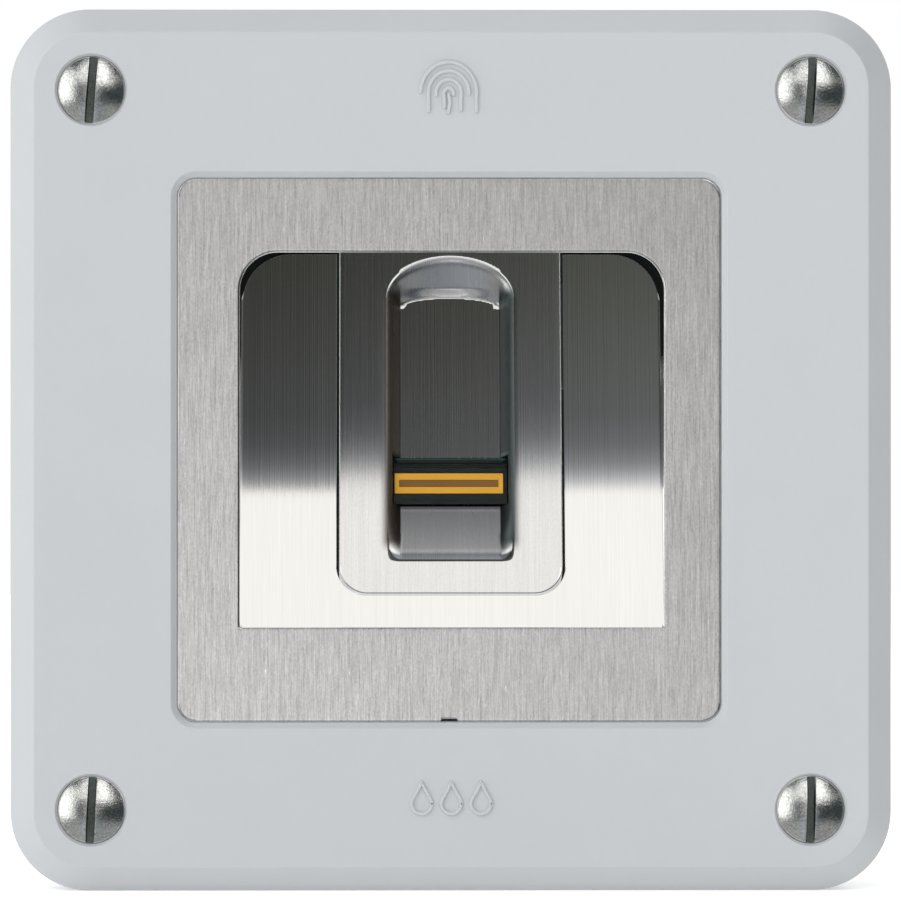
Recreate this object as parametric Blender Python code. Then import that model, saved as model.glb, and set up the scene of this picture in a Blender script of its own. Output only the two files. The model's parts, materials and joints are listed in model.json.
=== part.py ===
"""Fingerprint scanner terminal for a flush wall box.

A screwed plastic cover frames a brushed stainless faceplate. Behind the faceplate a steel tray slopes back and up, and
carries the finger guide with the swipe sensor. The electronics sit in a housing that clips into a steel support plate.

Metres, +Z up. The front faces -Y. The origin is the centre of the bounding box. Depths along Y are measured from the
wall plane, at the back of the support plate, and one empty carries every piece to its place about the origin."""

import math

import bmesh
import bpy
from mathutils import Vector

GAP = 0.0003  # between pieces that rest on or sit in each other
CORNER_STEPS = 6  # segments in each rounded corner
ROUND_STEPS = 24  # segments round a turned piece
SHARP_ANGLE = math.radians(35)

# Cover frame, square about the origin
COVER_HALF = 0.0491
COVER_RADIUS = 0.0088
COVER_BEVEL = 0.0027
COVER_FRONT = -0.0110
COVER_BACK = -0.0013
COVER_WALL = 0.0023
WINDOW_HALF = 0.0303
WINDOW_RADIUS = 0.0022
WINDOW_BEVEL = 0.00065
RIB_WIDTH = 0.0021
RIB_BACK = -0.0067

# Cover screws, at the corners of a square
SCREW_PITCH_HALF = 0.0400
SCREW_HEAD_RADIUS = 0.0037
SCREW_HEAD_BACK = -0.0094
SCREW_HEAD_EDGE = -0.0103
SCREW_HEAD_FRONT = -0.0116
SCREW_SHANK_RADIUS = 0.0020
SCREW_TIP = -0.0008
SLOT_WIDTH = 0.00095
SLOT_DEPTH = 0.0013
COUNTERBORE_RADIUS = 0.00415
COUNTERBORE_FLOOR = -0.0079
COVER_HOLE_RADIUS = 0.0024
COVER_BOSS_RADIUS = 0.0059
COVER_BOSS_BACK = -0.0053
STANDOFF_RADIUS = 0.0040
STANDOFF_NECK_RADIUS = 0.0030
STANDOFF_FRONT = -0.0050
STANDOFF_BORE_RADIUS = 0.00225
SLOT_LEAN_DEGREES = {"top_left": 4.5, "top_right": 3.4, "bottom_left": 2.8, "bottom_right": 1.0}

# Faceplate and its opening
FACE_HALF = 0.0300
FACE_RADIUS = 0.0021
FACE_FRONT = -0.0102
FACE_THICKNESS = 0.0010
FACE_BACK = FACE_FRONT + FACE_THICKNESS
OPENING_HALF = 0.0236
OPENING_BOTTOM = -0.01975
OPENING_TOP = 0.0220
OPENING_RADIUS = 0.0042
PRY_NOTCH_HALF = 0.0009
PRY_NOTCH_DEPTH = 0.0003

# Ramp: a plane through the opening's lower edge, leaning back
RAMP_TILT = math.radians(15.5)
RAMP_FOOT_Y = FACE_BACK + 0.0008
TRAY_HALF = 0.0233
TRAY_SHEET = 0.0006
TRAY_BEND = 0.0010
TRAY_CORNER_RADIUS = 0.0070
TRAY_CORNER_START = 0.0154
TRAY_RIM_STEP_Z = 0.0080
TRAY_RIM_DROP = 0.0035
TRAY_TOP = 0.0248
TRAY_BOTTOM = OPENING_BOTTOM - 0.00055

# Finger guide, in the ramp's own frame: X across, Y into the surface, Z up the slope from the opening's lower edge
GUIDE_HALF = 0.0125
GUIDE_START = 0.0040
GUIDE_END = 0.0448
GUIDE_THICKNESS = 0.0034
GUIDE_CORNER = 0.0030
GROOVE_DEPTH = 0.0020
GROOVE_FLOOR_HALF = 0.0057
GROOVE_RIM_HALF = 0.0070
GROOVE_START = 0.00835
GROOVE_FULL = 0.0142
GROOVE_END_CENTRE = 0.0380
GROOVE_END_FLOOR = 0.0010
GROOVE_END_RIM = 0.0053

# Swipe sensor, in the ramp's frame
SENSOR_CENTRE = 0.0170
SENSOR_WINDOW_HALF_X = 0.0064
SENSOR_WINDOW_HALF_Z = 0.00285
SENSOR_RING_HALF_X = 0.0061
SENSOR_RING_HALF_Z = 0.00117
SENSOR_STRIP_HALF_X = 0.00555
SENSOR_STRIP_HALF_Z = 0.00039
SENSOR_FACE = 0.0014
SENSOR_SCREW_X = 0.0098
SENSOR_BOARD_FRONT = 0.0056
SENSOR_BOARD_BACK = 0.0066

# Module behind the faceplate
BEZEL_BODY_HALF = 0.0297
BEZEL_FLANGE_HALF = 0.0330
BEZEL_FLANGE_FRONT = -0.0052
BEZEL_FLANGE_BACK = -0.0036
BEZEL_OPENING_HALF_X = 0.0246
BEZEL_OPENING_HALF_Z = 0.0240
BEZEL_OPENING_CENTRE_Z = 0.0034
HOUSING_HALF_X = 0.0263
HOUSING_HALF_Z = 0.0291
HOUSING_WALL = 0.0017
HOUSING_LEDGE = 0.0020
HOUSING_BACK = 0.0220
BOARD_FRONT = 0.0130
BOARD_THICKNESS = 0.0016
BOARD_BACK = BOARD_FRONT + BOARD_THICKNESS
BOARD_HALF_X = 0.0242
BOARD_HALF_Z = 0.0270
POST_X = 0.0220
POST_Z = 0.0248
POST_RADIUS = 0.0030
POST_FRONT = 0.0065
HOUSING_SCREW_RADIUS = 0.0012
HOUSING_HOLE_RADIUS = 0.0015
BACK_COVER_BACK = 0.0240

# Bus terminal at the back of the main board
TERMINAL_Z = -0.0160
HEADER_HALF_X = 0.0104
HEADER_HALF_Z = 0.0044
HEADER_WALL = 0.0009
HEADER_BACK = 0.0270
PLUG_HALF_Z = 0.0048
PLUG_BACK = 0.0373
POLE_PITCH = 0.00508
POLES = 4

# Support plate on the wall
PLATE_HALF = 0.0440
PLATE_RADIUS = 0.0050
PLATE_THICKNESS = 0.0015
BOX_SCREW_X = 0.0300
GASKET_HALF = 0.0487
GASKET_INNER_HALF = 0.0452
GASKET_THICKNESS = 0.0010

# The bounding box's middle, measured from the wall plane
MIDDLE_DEPTH = (SCREW_HEAD_FRONT + PLUG_BACK) / 2

CORNERS = {
    "top_left": (-1, 1),
    "top_right": (1, 1),
    "bottom_left": (-1, -1),
    "bottom_right": (1, -1),
}


# Building blocks


def material(name, colour, roughness, metallic):
    made = bpy.data.materials.new(name)
    made.use_nodes = True
    shader = made.node_tree.nodes["Principled BSDF"]
    shader.inputs["Base Color"].default_value = (*colour, 1.0)
    shader.inputs["Roughness"].default_value = roughness
    shader.inputs["Metallic"].default_value = metallic
    made.diffuse_color = (*colour, 1.0)
    return made


def rounded(half_x, half_z, radius, centre_z=0.0):
    """A rounded rectangle in the XZ plane, as (x, z) points from the upper right corner round to the lower right."""
    points = []
    for quarter, (side_x, side_z) in enumerate(((1, 1), (-1, 1), (-1, -1), (1, -1))):
        middle = (side_x * (half_x - radius), centre_z + side_z * (half_z - radius))
        for step in range(CORNER_STEPS + 1):
            angle = math.radians(90) * (quarter + step / CORNER_STEPS)
            points.append((middle[0] + radius * math.cos(angle), middle[1] + radius * math.sin(angle)))
    return points


def circle(radius, centre=(0.0, 0.0), steps=ROUND_STEPS):
    turns = [math.tau * step / steps for step in range(steps)]
    return [(centre[0] + radius * math.cos(a), centre[1] + radius * math.sin(a)) for a in turns]


def at_depth(outline, depth):
    return [Vector((x, depth, z)) for x, z in outline]


def make_object(name, mesh_builder, finish, parent=None, location=(0.0, 0.0, 0.0)):
    """Turns a bmesh into a named object with one material. A piece with no material is a cutter or a helper."""
    bmesh.ops.recalc_face_normals(mesh_builder, faces=mesh_builder.faces)
    mesh = bpy.data.meshes.new(name)
    mesh_builder.to_mesh(mesh)
    mesh_builder.free()
    made = bpy.data.objects.new(name, mesh)
    bpy.context.collection.objects.link(made)
    made.location = location
    made.parent = parent
    if finish is None:
        made.hide_render = True
        made.display_type = "WIRE"
    else:
        mesh.materials.append(finish)
        mesh.shade_smooth()
        mesh.set_sharp_from_angle(angle=SHARP_ANGLE)
    return made


def skin(name, loops, finish, closed=False, **place):
    """A solid through loops of equally many points: capped at both ends, or closed from the last loop to the first."""
    builder = bmesh.new()
    rows = [[builder.verts.new(point) for point in loop] for loop in loops]
    pairs = list(zip(rows, rows[1:]))
    if closed:
        pairs.append((rows[-1], rows[0]))
    else:
        builder.faces.new(rows[0])
        builder.faces.new(list(reversed(rows[-1])))
    for row, following in pairs:
        for index in range(len(row)):
            after = (index + 1) % len(row)
            builder.faces.new((row[index], row[after], following[after], following[index]))
    return make_object(name, builder, finish, **place)


def plate(name, outlines, front, back, finish, **place):
    """A flat plate: the first outline is its edge and the others are holes."""
    builder = bmesh.new()
    for outline in outlines:
        ring = [builder.verts.new(point) for point in at_depth(outline, front)]
        for index, corner in enumerate(ring):
            builder.edges.new((corner, ring[(index + 1) % len(ring)]))
    bmesh.ops.triangle_fill(builder, use_beauty=True, use_dissolve=False, edges=builder.edges)
    grown = bmesh.ops.extrude_face_region(builder, geom=list(builder.faces), use_keep_orig=True)
    moved = [part for part in grown["geom"] if isinstance(part, bmesh.types.BMVert)]
    bmesh.ops.translate(builder, verts=moved, vec=(0.0, back - front, 0.0))
    return make_object(name, builder, finish, **place)


def turned(name, profile, finish, closed=False, steps=ROUND_STEPS, **place):
    """A solid turned about its own Y axis from (radius, y) points."""
    loops = [at_depth(circle(radius, steps=steps), depth) for radius, depth in profile]
    return skin(name, loops, finish, closed, **place)


def block(name, size, finish, **place):
    """A box, centred on its origin."""
    x, y, z = (side / 2 for side in size)
    corners = ((x, z), (-x, z), (-x, -z), (x, -z))
    return skin(name, [at_depth(corners, -y), at_depth(corners, y)], finish, **place)


def many(name, pieces, finish=None, parent=None):
    """Joins separate (outline, front, back) prisms into one helper for a Boolean."""
    builder = bmesh.new()
    for outline, front, back in pieces:
        rows = [[builder.verts.new(p) for p in at_depth(outline, depth)] for depth in (front, back)]
        builder.faces.new(rows[0])
        builder.faces.new(list(reversed(rows[1])))
        for index in range(len(outline)):
            after = (index + 1) % len(outline)
            builder.faces.new((rows[0][index], rows[0][after], rows[1][after], rows[1][index]))
    return make_object(name, builder, finish, parent)


def combine(target, helper, operation="DIFFERENCE"):
    modifier = target.modifiers.new(helper.name, "BOOLEAN")
    modifier.operation = operation
    modifier.object = helper


def soften(target, width):
    """Bevels every sharp edge by one segment."""
    modifier = target.modifiers.new("Soft edges", "BEVEL")
    modifier.width = width
    modifier.segments = 1
    modifier.limit_method = "ANGLE"
    modifier.angle_limit = SHARP_ANGLE


def square(half_x, half_z, centre=(0.0, 0.0)):
    x, z = centre
    return [(x + half_x, z + half_z), (x - half_x, z + half_z), (x - half_x, z - half_z), (x + half_x, z - half_z)]


def corner_places(half_x, half_z):
    return [(side_x * half_x, side_z * half_z) for side_x, side_z in CORNERS.values()]


# Cover frame and seals


def cover_frame():
    inner_half = COVER_HALF - COVER_WALL
    inner_radius = COVER_RADIUS - COVER_WALL
    top_back = COVER_FRONT + COVER_WALL
    rib_half = WINDOW_HALF + RIB_WIDTH
    rim_half = WINDOW_HALF + WINDOW_BEVEL
    face_half = COVER_HALF - COVER_BEVEL
    sections = (
        (COVER_HALF, COVER_RADIUS, COVER_BACK),
        (COVER_HALF, COVER_RADIUS, COVER_FRONT + COVER_BEVEL),
        (face_half, COVER_RADIUS - COVER_BEVEL, COVER_FRONT),
        (rim_half, WINDOW_RADIUS + WINDOW_BEVEL, COVER_FRONT),
        (WINDOW_HALF, WINDOW_RADIUS, COVER_FRONT + WINDOW_BEVEL),
        (WINDOW_HALF, WINDOW_RADIUS, RIB_BACK),
        (rib_half, WINDOW_RADIUS + RIB_WIDTH, RIB_BACK),
        (rib_half, WINDOW_RADIUS + RIB_WIDTH, top_back),
        (inner_half, inner_radius, top_back),
        (inner_half, inner_radius, COVER_BACK),
    )
    loops = [at_depth(rounded(half, half, radius), depth) for half, radius, depth in sections]
    finish = material("grey_moulding", (0.60, 0.62, 0.64), 0.45, 0.0)
    cover = skin("cover_frame", loops, finish, closed=True)
    places = corner_places(SCREW_PITCH_HALF, SCREW_PITCH_HALF)
    boss_front = COVER_FRONT + COVER_WALL / 2
    bosses = [(circle(COVER_BOSS_RADIUS, place), boss_front, COVER_BOSS_BACK) for place in places]
    combine(cover, many("cover_boss_helper", bosses), "UNION")
    sinks = [(circle(COUNTERBORE_RADIUS, place), COVER_FRONT - 0.001, COUNTERBORE_FLOOR) for place in places]
    combine(cover, many("counterbore_cutter", sinks))
    holes = [(circle(COVER_HOLE_RADIUS, place), COUNTERBORE_FLOOR - 0.0005, 0.0) for place in places]
    combine(cover, many("cover_hole_cutter", holes))
    return cover


def flat_ring(name, outer_half, inner_half, radius, front, back, finish):
    inner_radius = max(radius - (outer_half - inner_half), 0.001)
    sections = (
        (outer_half, radius, back),
        (outer_half, radius, front),
        (inner_half, inner_radius, front),
        (inner_half, inner_radius, back),
    )
    loops = [at_depth(rounded(half, half, r), depth) for half, r, depth in sections]
    return skin(name, loops, finish, closed=True)


def seals():
    rubber = material("seal_rubber", (0.03, 0.03, 0.03), 0.8, 0.0)
    flat_ring("wall_gasket", GASKET_HALF, GASKET_INNER_HALF, 0.0084, -GASKET_THICKNESS, 0.0, rubber)
    seal_half = WINDOW_HALF + RIB_WIDTH
    flat_ring("window_seal", seal_half, WINDOW_HALF, 0.0042, RIB_BACK + GAP, BEZEL_FLANGE_FRONT - GAP, rubber)
    back = COUNTERBORE_FLOOR - GAP
    front = SCREW_HEAD_BACK + GAP
    profile = ((0.0036, back), (0.0036, front), (0.0023, front), (0.0023, back))
    for corner, (side_x, side_z) in CORNERS.items():
        place = (side_x * SCREW_PITCH_HALF, 0.0, side_z * SCREW_PITCH_HALF)
        turned("screw_seal_" + corner, profile, rubber, closed=True, steps=20, location=place)


def slotted_head(screw, head_front, width, depth, lean=0.0):
    """Cuts a driver slot across the head at the front end of a screw turned about its own Y axis."""
    reach = 0.006
    cutter = block(screw.name + "_slot_cutter", (width, 2 * depth, 2 * reach), None, parent=screw)
    cutter.location = (0.0, head_front, 0.0)
    cutter.rotation_euler.y = lean
    combine(screw, cutter)


def cover_screws():
    steel = material("polished_steel", (0.62, 0.61, 0.58), 0.2, 1.0)
    dome_steps = 4
    dome_height = SCREW_HEAD_EDGE - SCREW_HEAD_FRONT
    dome = []
    for step in range(dome_steps):
        angle = math.radians(90) * step / dome_steps
        dome.append((SCREW_HEAD_RADIUS * math.cos(angle), SCREW_HEAD_EDGE - dome_height * math.sin(angle)))
    dome.append((0.0002, SCREW_HEAD_FRONT))
    shank = [
        (SCREW_SHANK_RADIUS - 0.0004, SCREW_TIP),
        (SCREW_SHANK_RADIUS, SCREW_TIP - 0.0004),
        (SCREW_SHANK_RADIUS, SCREW_HEAD_BACK),
        (SCREW_HEAD_RADIUS, SCREW_HEAD_BACK),
    ]
    for corner, (side_x, side_z) in CORNERS.items():
        place = (side_x * SCREW_PITCH_HALF, 0.0, side_z * SCREW_PITCH_HALF)
        screw = turned("cover_screw_" + corner, shank + dome, steel, location=place)
        slotted_head(screw, SCREW_HEAD_FRONT, SLOT_WIDTH, SLOT_DEPTH, math.radians(SLOT_LEAN_DEGREES[corner]))


def standoffs():
    zinc = material("zinc_plated_steel", (0.55, 0.56, 0.58), 0.35, 1.0)
    profile = (
        (STANDOFF_NECK_RADIUS, -0.0002),
        (STANDOFF_NECK_RADIUS, -PLATE_THICKNESS - GAP),
        (STANDOFF_RADIUS, -PLATE_THICKNESS - GAP),
        (STANDOFF_RADIUS, STANDOFF_FRONT),
        (STANDOFF_BORE_RADIUS, STANDOFF_FRONT),
        (STANDOFF_BORE_RADIUS, -0.0002),
    )
    for corner, (side_x, side_z) in CORNERS.items():
        place = (side_x * SCREW_PITCH_HALF, 0.0, side_z * SCREW_PITCH_HALF)
        turned("standoff_" + corner, profile, zinc, closed=True, steps=20, location=place)


# Faceplate and ramp


def opening_outline():
    """The opening: rounded at its upper corners and square at its lower ones."""
    points = [(-OPENING_HALF, OPENING_BOTTOM), (OPENING_HALF, OPENING_BOTTOM)]
    for quarter, side in ((0, 1), (1, -1)):
        for step in range(CORNER_STEPS + 1):
            angle = math.radians(90) * (quarter + step / CORNER_STEPS)
            x = side * (OPENING_HALF - OPENING_RADIUS) + OPENING_RADIUS * math.cos(angle)
            points.append((x, OPENING_TOP - OPENING_RADIUS + OPENING_RADIUS * math.sin(angle)))
    return points


def faceplate():
    edge = rounded(FACE_HALF, FACE_HALF, FACE_RADIUS)
    lower_right = 3 * (CORNER_STEPS + 1)
    notch = [
        (-PRY_NOTCH_HALF, -FACE_HALF),
        (-PRY_NOTCH_HALF, -FACE_HALF + PRY_NOTCH_DEPTH),
        (PRY_NOTCH_HALF, -FACE_HALF + PRY_NOTCH_DEPTH),
        (PRY_NOTCH_HALF, -FACE_HALF),
    ]
    edge[lower_right:lower_right] = notch
    steel = material("brushed_stainless_plate", (0.46, 0.45, 0.44), 0.35, 1.0)
    plate("faceplate", [edge, opening_outline()], FACE_FRONT, FACE_BACK, steel)


def ramp_y(z):
    return RAMP_FOOT_Y + (z - OPENING_BOTTOM) * math.tan(RAMP_TILT)


def tray_half(z):
    rise = min(max(z - TRAY_CORNER_START, 0.0), TRAY_CORNER_RADIUS)
    return TRAY_HALF - TRAY_CORNER_RADIUS + math.sqrt(TRAY_CORNER_RADIUS**2 - rise**2)


def tray_section(z):
    """The tray's cut at height z: up one wall, round its bend, across the floor, and back round the outside."""
    half, floor = tray_half(z), ramp_y(z)
    rim = FACE_BACK + GAP
    if z > TRAY_RIM_STEP_Z:
        rim += TRAY_RIM_DROP
    bend = min(TRAY_BEND, floor - rim - 0.0001)
    bend_steps = 5
    inside, outside = [(-half, rim)], [(-half - TRAY_SHEET, rim)]
    for step in range(bend_steps + 1):
        angle = math.radians(90) * step / bend_steps
        across, down = math.cos(angle), math.sin(angle)
        inside.append((-half + bend - bend * across, floor - bend + bend * down))
        wide = bend + TRAY_SHEET
        outside.append((-half + bend - wide * across, floor - bend + wide * down))
    inside += [(-x, y) for x, y in reversed(inside)]
    outside += [(-x, y) for x, y in reversed(outside)]
    return [Vector((x, y, z)) for x, y in inside + list(reversed(outside))]


def ramp_tray(ramp):
    steel = material("brushed_stainless_tray", (0.50, 0.50, 0.49), 0.3, 1.0)
    corner_rows = 6
    heights = [TRAY_BOTTOM, -0.0100, 0.0, TRAY_RIM_STEP_Z - 0.0001, TRAY_RIM_STEP_Z + 0.0001, TRAY_CORNER_START]
    for step in range(1, corner_rows + 1):
        share = math.sin(math.radians(90) * step / corner_rows)
        heights.append(TRAY_CORNER_START + TRAY_CORNER_RADIUS * share)
    heights.append(TRAY_TOP)
    tray = skin("ramp_tray", [tray_section(z) for z in heights], steel)
    slot = guide_outline(GAP)
    combine(tray, many("guide_slot_cutter", [(slot, -0.003, 0.003)], parent=ramp))


def guide_half(z):
    """The guide's half width at z up the slope: its lower corners are rounded."""
    below = max(GUIDE_CORNER - (z - GUIDE_START), 0.0)
    return GUIDE_HALF - GUIDE_CORNER + math.sqrt(max(GUIDE_CORNER**2 - below**2, 0.0))


def guide_outline(margin):
    """The guide's outline in the ramp's plane, grown by a margin."""
    rows = [GUIDE_START + GUIDE_CORNER * (1 - math.cos(math.radians(90) * s / 6)) for s in range(7)]
    right = [(guide_half(z) + margin, z - margin * (1 - (z - GUIDE_START) / GUIDE_CORNER)) for z in rows]
    right.append((GUIDE_HALF + margin, GUIDE_END + margin))
    return right + [(-x, z) for x, z in reversed(right)]


def end_share(x, z):
    """0 on the floor's elliptic end, 1 on the rim's, and in between on the ellipses between them."""
    low, high = 0.0, 1.0
    for _ in range(20):
        share = (low + high) / 2
        half = GROOVE_FLOOR_HALF + share * (GROOVE_RIM_HALF - GROOVE_FLOOR_HALF)
        reach = GROOVE_END_FLOOR + share * (GROOVE_END_RIM - GROOVE_END_FLOOR)
        if (x / half) ** 2 + ((z - GROOVE_END_CENTRE) / reach) ** 2 > 1:
            low = share
        else:
            high = share
    return high


def groove_depth(x, z):
    if z > GROOVE_END_CENTRE:
        share = end_share(x, z)
    else:
        share = (abs(x) - GROOVE_FLOOR_HALF) / (GROOVE_RIM_HALF - GROOVE_FLOOR_HALF)
    share = min(max(share, 0.0), 1.0)
    run_out = min(max((z - GROOVE_START) / (GROOVE_FULL - GROOVE_START), 0.0), 1.0)
    return GROOVE_DEPTH * run_out * (1 + math.cos(math.pi * share)) / 2


def guide_rows():
    corner = [GUIDE_START + GUIDE_CORNER * share for share in (0.0, 0.1, 0.35, 0.65, 1.0)]
    run_out = [GROOVE_START + (GROOVE_FULL - GROOVE_START) * step / 5 for step in range(6)]
    rounded_end = [GROOVE_END_CENTRE + GROOVE_END_RIM * step / 8 for step in range(9)]
    return corner + run_out + [0.0260] + rounded_end + [GUIDE_END]


def finger_guide(ramp):
    wall = GROOVE_RIM_HALF - GROOVE_FLOOR_HALF
    right = [0.0, 0.25, 0.5, 0.75]
    columns = [share * GROOVE_FLOOR_HALF for share in right]
    columns += [GROOVE_FLOOR_HALF + share * wall for share in (0.0, 0.33, 0.67, 1.0)]
    across = [-x for x in reversed(columns[1:])] + columns
    loops = []
    for z in guide_rows():
        half = guide_half(z)
        front = [Vector((x, groove_depth(x, z), z)) for x in across]
        front = [Vector((-half, 0.0, z))] + front + [Vector((half, 0.0, z))]
        loops.append(front + [Vector((half, GUIDE_THICKNESS, z)), Vector((-half, GUIDE_THICKNESS, z))])
    steel = material("brushed_stainless_guide", (0.48, 0.48, 0.47), 0.3, 1.0)
    guide = skin("finger_guide", loops, steel, parent=ramp)
    window = square(SENSOR_WINDOW_HALF_X, SENSOR_WINDOW_HALF_Z, (0.0, SENSOR_CENTRE))
    combine(guide, many("sensor_window_cutter", [(window, -0.001, GUIDE_THICKNESS + 0.001)], parent=ramp))
    holes = [(circle(0.0011, (x, SENSOR_CENTRE), 16), 0.0012, 0.0040) for x in (-SENSOR_SCREW_X, SENSOR_SCREW_X)]
    combine(guide, many("guide_screw_hole_cutter", holes, parent=ramp))


# Swipe sensor


def sensor(ramp):
    carrier_back = SENSOR_BOARD_FRONT - GAP
    flange_front = GUIDE_THICKNESS + GAP
    top = SENSOR_FACE + 0.0006
    body = square(SENSOR_WINDOW_HALF_X - GAP, SENSOR_WINDOW_HALF_Z - GAP, (0.0, SENSOR_CENTRE))
    flange = square(0.0120, 0.0045, (0.0, SENSOR_CENTRE))
    stack = ((body, top), (body, flange_front), (flange, flange_front), (flange, carrier_back))
    black = material("black_carrier", (0.015, 0.018, 0.018), 0.15, 0.0)
    carrier = skin("sensor_carrier", [at_depth(o, y) for o, y in stack], black, parent=ramp)
    ends = [(x, SENSOR_CENTRE) for x in (-SENSOR_SCREW_X, SENSOR_SCREW_X)]
    holes = [(circle(0.0013, end, 16), 0.002, 0.007) for end in ends]
    clearance = many("sensor_screw_clearance_cutter", holes, parent=ramp)
    combine(carrier, clearance)
    gold = material("gold_electrode", (0.75, 0.45, 0.06), 0.25, 1.0)
    ring = square(SENSOR_RING_HALF_X, SENSOR_RING_HALF_Z, (0.0, SENSOR_CENTRE))
    strip = square(SENSOR_STRIP_HALF_X, SENSOR_STRIP_HALF_Z, (0.0, SENSOR_CENTRE))
    play = 0.00015
    hole = square(SENSOR_STRIP_HALF_X + play, SENSOR_STRIP_HALF_Z + play, (0.0, SENSOR_CENTRE))
    plate("sensor_bezel", [ring, hole], SENSOR_FACE, top - GAP, gold, parent=ramp)
    brown = material("sensing_line", (0.19, 0.09, 0.02), 0.35, 0.2)
    plate("sensor_strip", [strip], SENSOR_FACE, top - GAP, brown, parent=ramp)
    green = material("circuit_board_green", (0.02, 0.16, 0.07), 0.4, 0.0)
    board_edge = square(0.0120, 0.0060, (0.0, SENSOR_CENTRE))
    board = plate("sensor_board", [board_edge], SENSOR_BOARD_FRONT, SENSOR_BOARD_BACK, green, parent=ramp)
    combine(board, clearance)
    sensor_screws(ramp, ends)
    sensor_flex()


def sensor_screws(ramp, ends):
    zinc = material("small_zinc_screw", (0.6, 0.6, 0.6), 0.3, 1.0)
    seat = SENSOR_BOARD_BACK + GAP
    profile = ((0.0009, 0.0015), (0.0009, seat), (0.0017, seat), (0.0017, seat + 0.0007), (0.0013, seat + 0.0011))
    for (x, z), side in zip(ends, ("left", "right")):
        turned("sensor_screw_" + side, profile, zinc, steps=16, parent=ramp, location=(x, 0.0, z))


def ribbon(name, path, half_width, thickness, finish):
    """A strip of even thickness along a path of (y, z) points, centred on X = 0."""
    loops = []
    for index, (y, z) in enumerate(path):
        before = Vector(path[max(index - 1, 0)])
        after = Vector(path[min(index + 1, len(path) - 1)])
        along = (after - before).normalized()
        y_off, z_off = -along.y * thickness / 2, along.x * thickness / 2
        near, far = (y + y_off, z + z_off), (y - y_off, z - z_off)
        loops.append(
            [
                Vector((-half_width, *near)),
                Vector((half_width, *near)),
                Vector((half_width, *far)),
                Vector((-half_width, *far)),
            ]
        )
    return skin(name, loops, finish)


def sensor_flex():
    """The ribbon cable: a cubic curve from the sensor board's back to the socket on the main board."""
    guide_points = [Vector(p) for p in ((0.0016, -0.0100), (0.0048, -0.0108), (0.0050, -0.0155), (0.0104, -0.0155))]
    path = []
    steps = 12
    for step in range(steps + 1):
        t = step / steps
        weights = ((1 - t) ** 3, 3 * t * (1 - t) ** 2, 3 * t * t * (1 - t), t**3)
        point = sum((w * p for w, p in zip(weights, guide_points)), Vector((0.0, 0.0)))
        path.append((point.x, point.y))
    amber = material("amber_flex", (0.45, 0.2, 0.03), 0.35, 0.0)
    ribbon("sensor_flex", path, 0.0040, 0.0003, amber)


# Module


def front_bezel():
    corner = 0.0020
    outer = (
        (BEZEL_FLANGE_HALF, BEZEL_FLANGE_BACK),
        (BEZEL_FLANGE_HALF, BEZEL_FLANGE_FRONT),
        (BEZEL_BODY_HALF, BEZEL_FLANGE_FRONT),
        (BEZEL_BODY_HALF, FACE_BACK + GAP),
    )
    loops = [at_depth(rounded(half, half, corner), depth) for half, depth in outer]
    opening = rounded(BEZEL_OPENING_HALF_X, BEZEL_OPENING_HALF_Z, 0.0006, BEZEL_OPENING_CENTRE_Z)
    loops += [at_depth(opening, FACE_BACK + GAP), at_depth(opening, BEZEL_FLANGE_BACK)]
    black = material("black_moulding", (0.02, 0.02, 0.022), 0.5, 0.0)
    skin("front_bezel", loops, black, closed=True)


def module_housing():
    front = BEZEL_FLANGE_BACK + GAP
    ledge_back = BOARD_FRONT - GAP
    wide = HOUSING_WALL
    narrow = HOUSING_WALL + HOUSING_LEDGE
    sections = (
        (0.0, HOUSING_BACK),
        (0.0, front),
        (wide, front),
        (wide, ledge_back - 0.0035),
        (narrow, ledge_back - 0.0012),
        (narrow, ledge_back),
        (wide, ledge_back),
        (wide, HOUSING_BACK),
    )
    loops = []
    for inset, depth in sections:
        outline = rounded(HOUSING_HALF_X - inset, HOUSING_HALF_Z - inset, max(0.0030 - inset, 0.0006))
        loops.append(at_depth(outline, depth))
    dark = material("dark_grey_moulding", (0.05, 0.052, 0.055), 0.5, 0.0)
    housing = skin("module_housing", loops, dark, closed=True)
    places = corner_places(POST_X, POST_Z)
    posts = [(circle(POST_RADIUS, place, 20), POST_FRONT, ledge_back) for place in places]
    combine(housing, many("post_helper", posts), "UNION")
    bores = [(circle(HOUSING_HOLE_RADIUS, place, 16), POST_FRONT + 0.001, HOUSING_BACK) for place in places]
    combine(housing, many("post_bore_cutter", bores))
    notch = square(0.0025, 0.0012, (0.0, 0.0262))
    combine(housing, many("light_guide_notch_cutter", [(notch, 0.0080, ledge_back + 0.0001)]))


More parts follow.
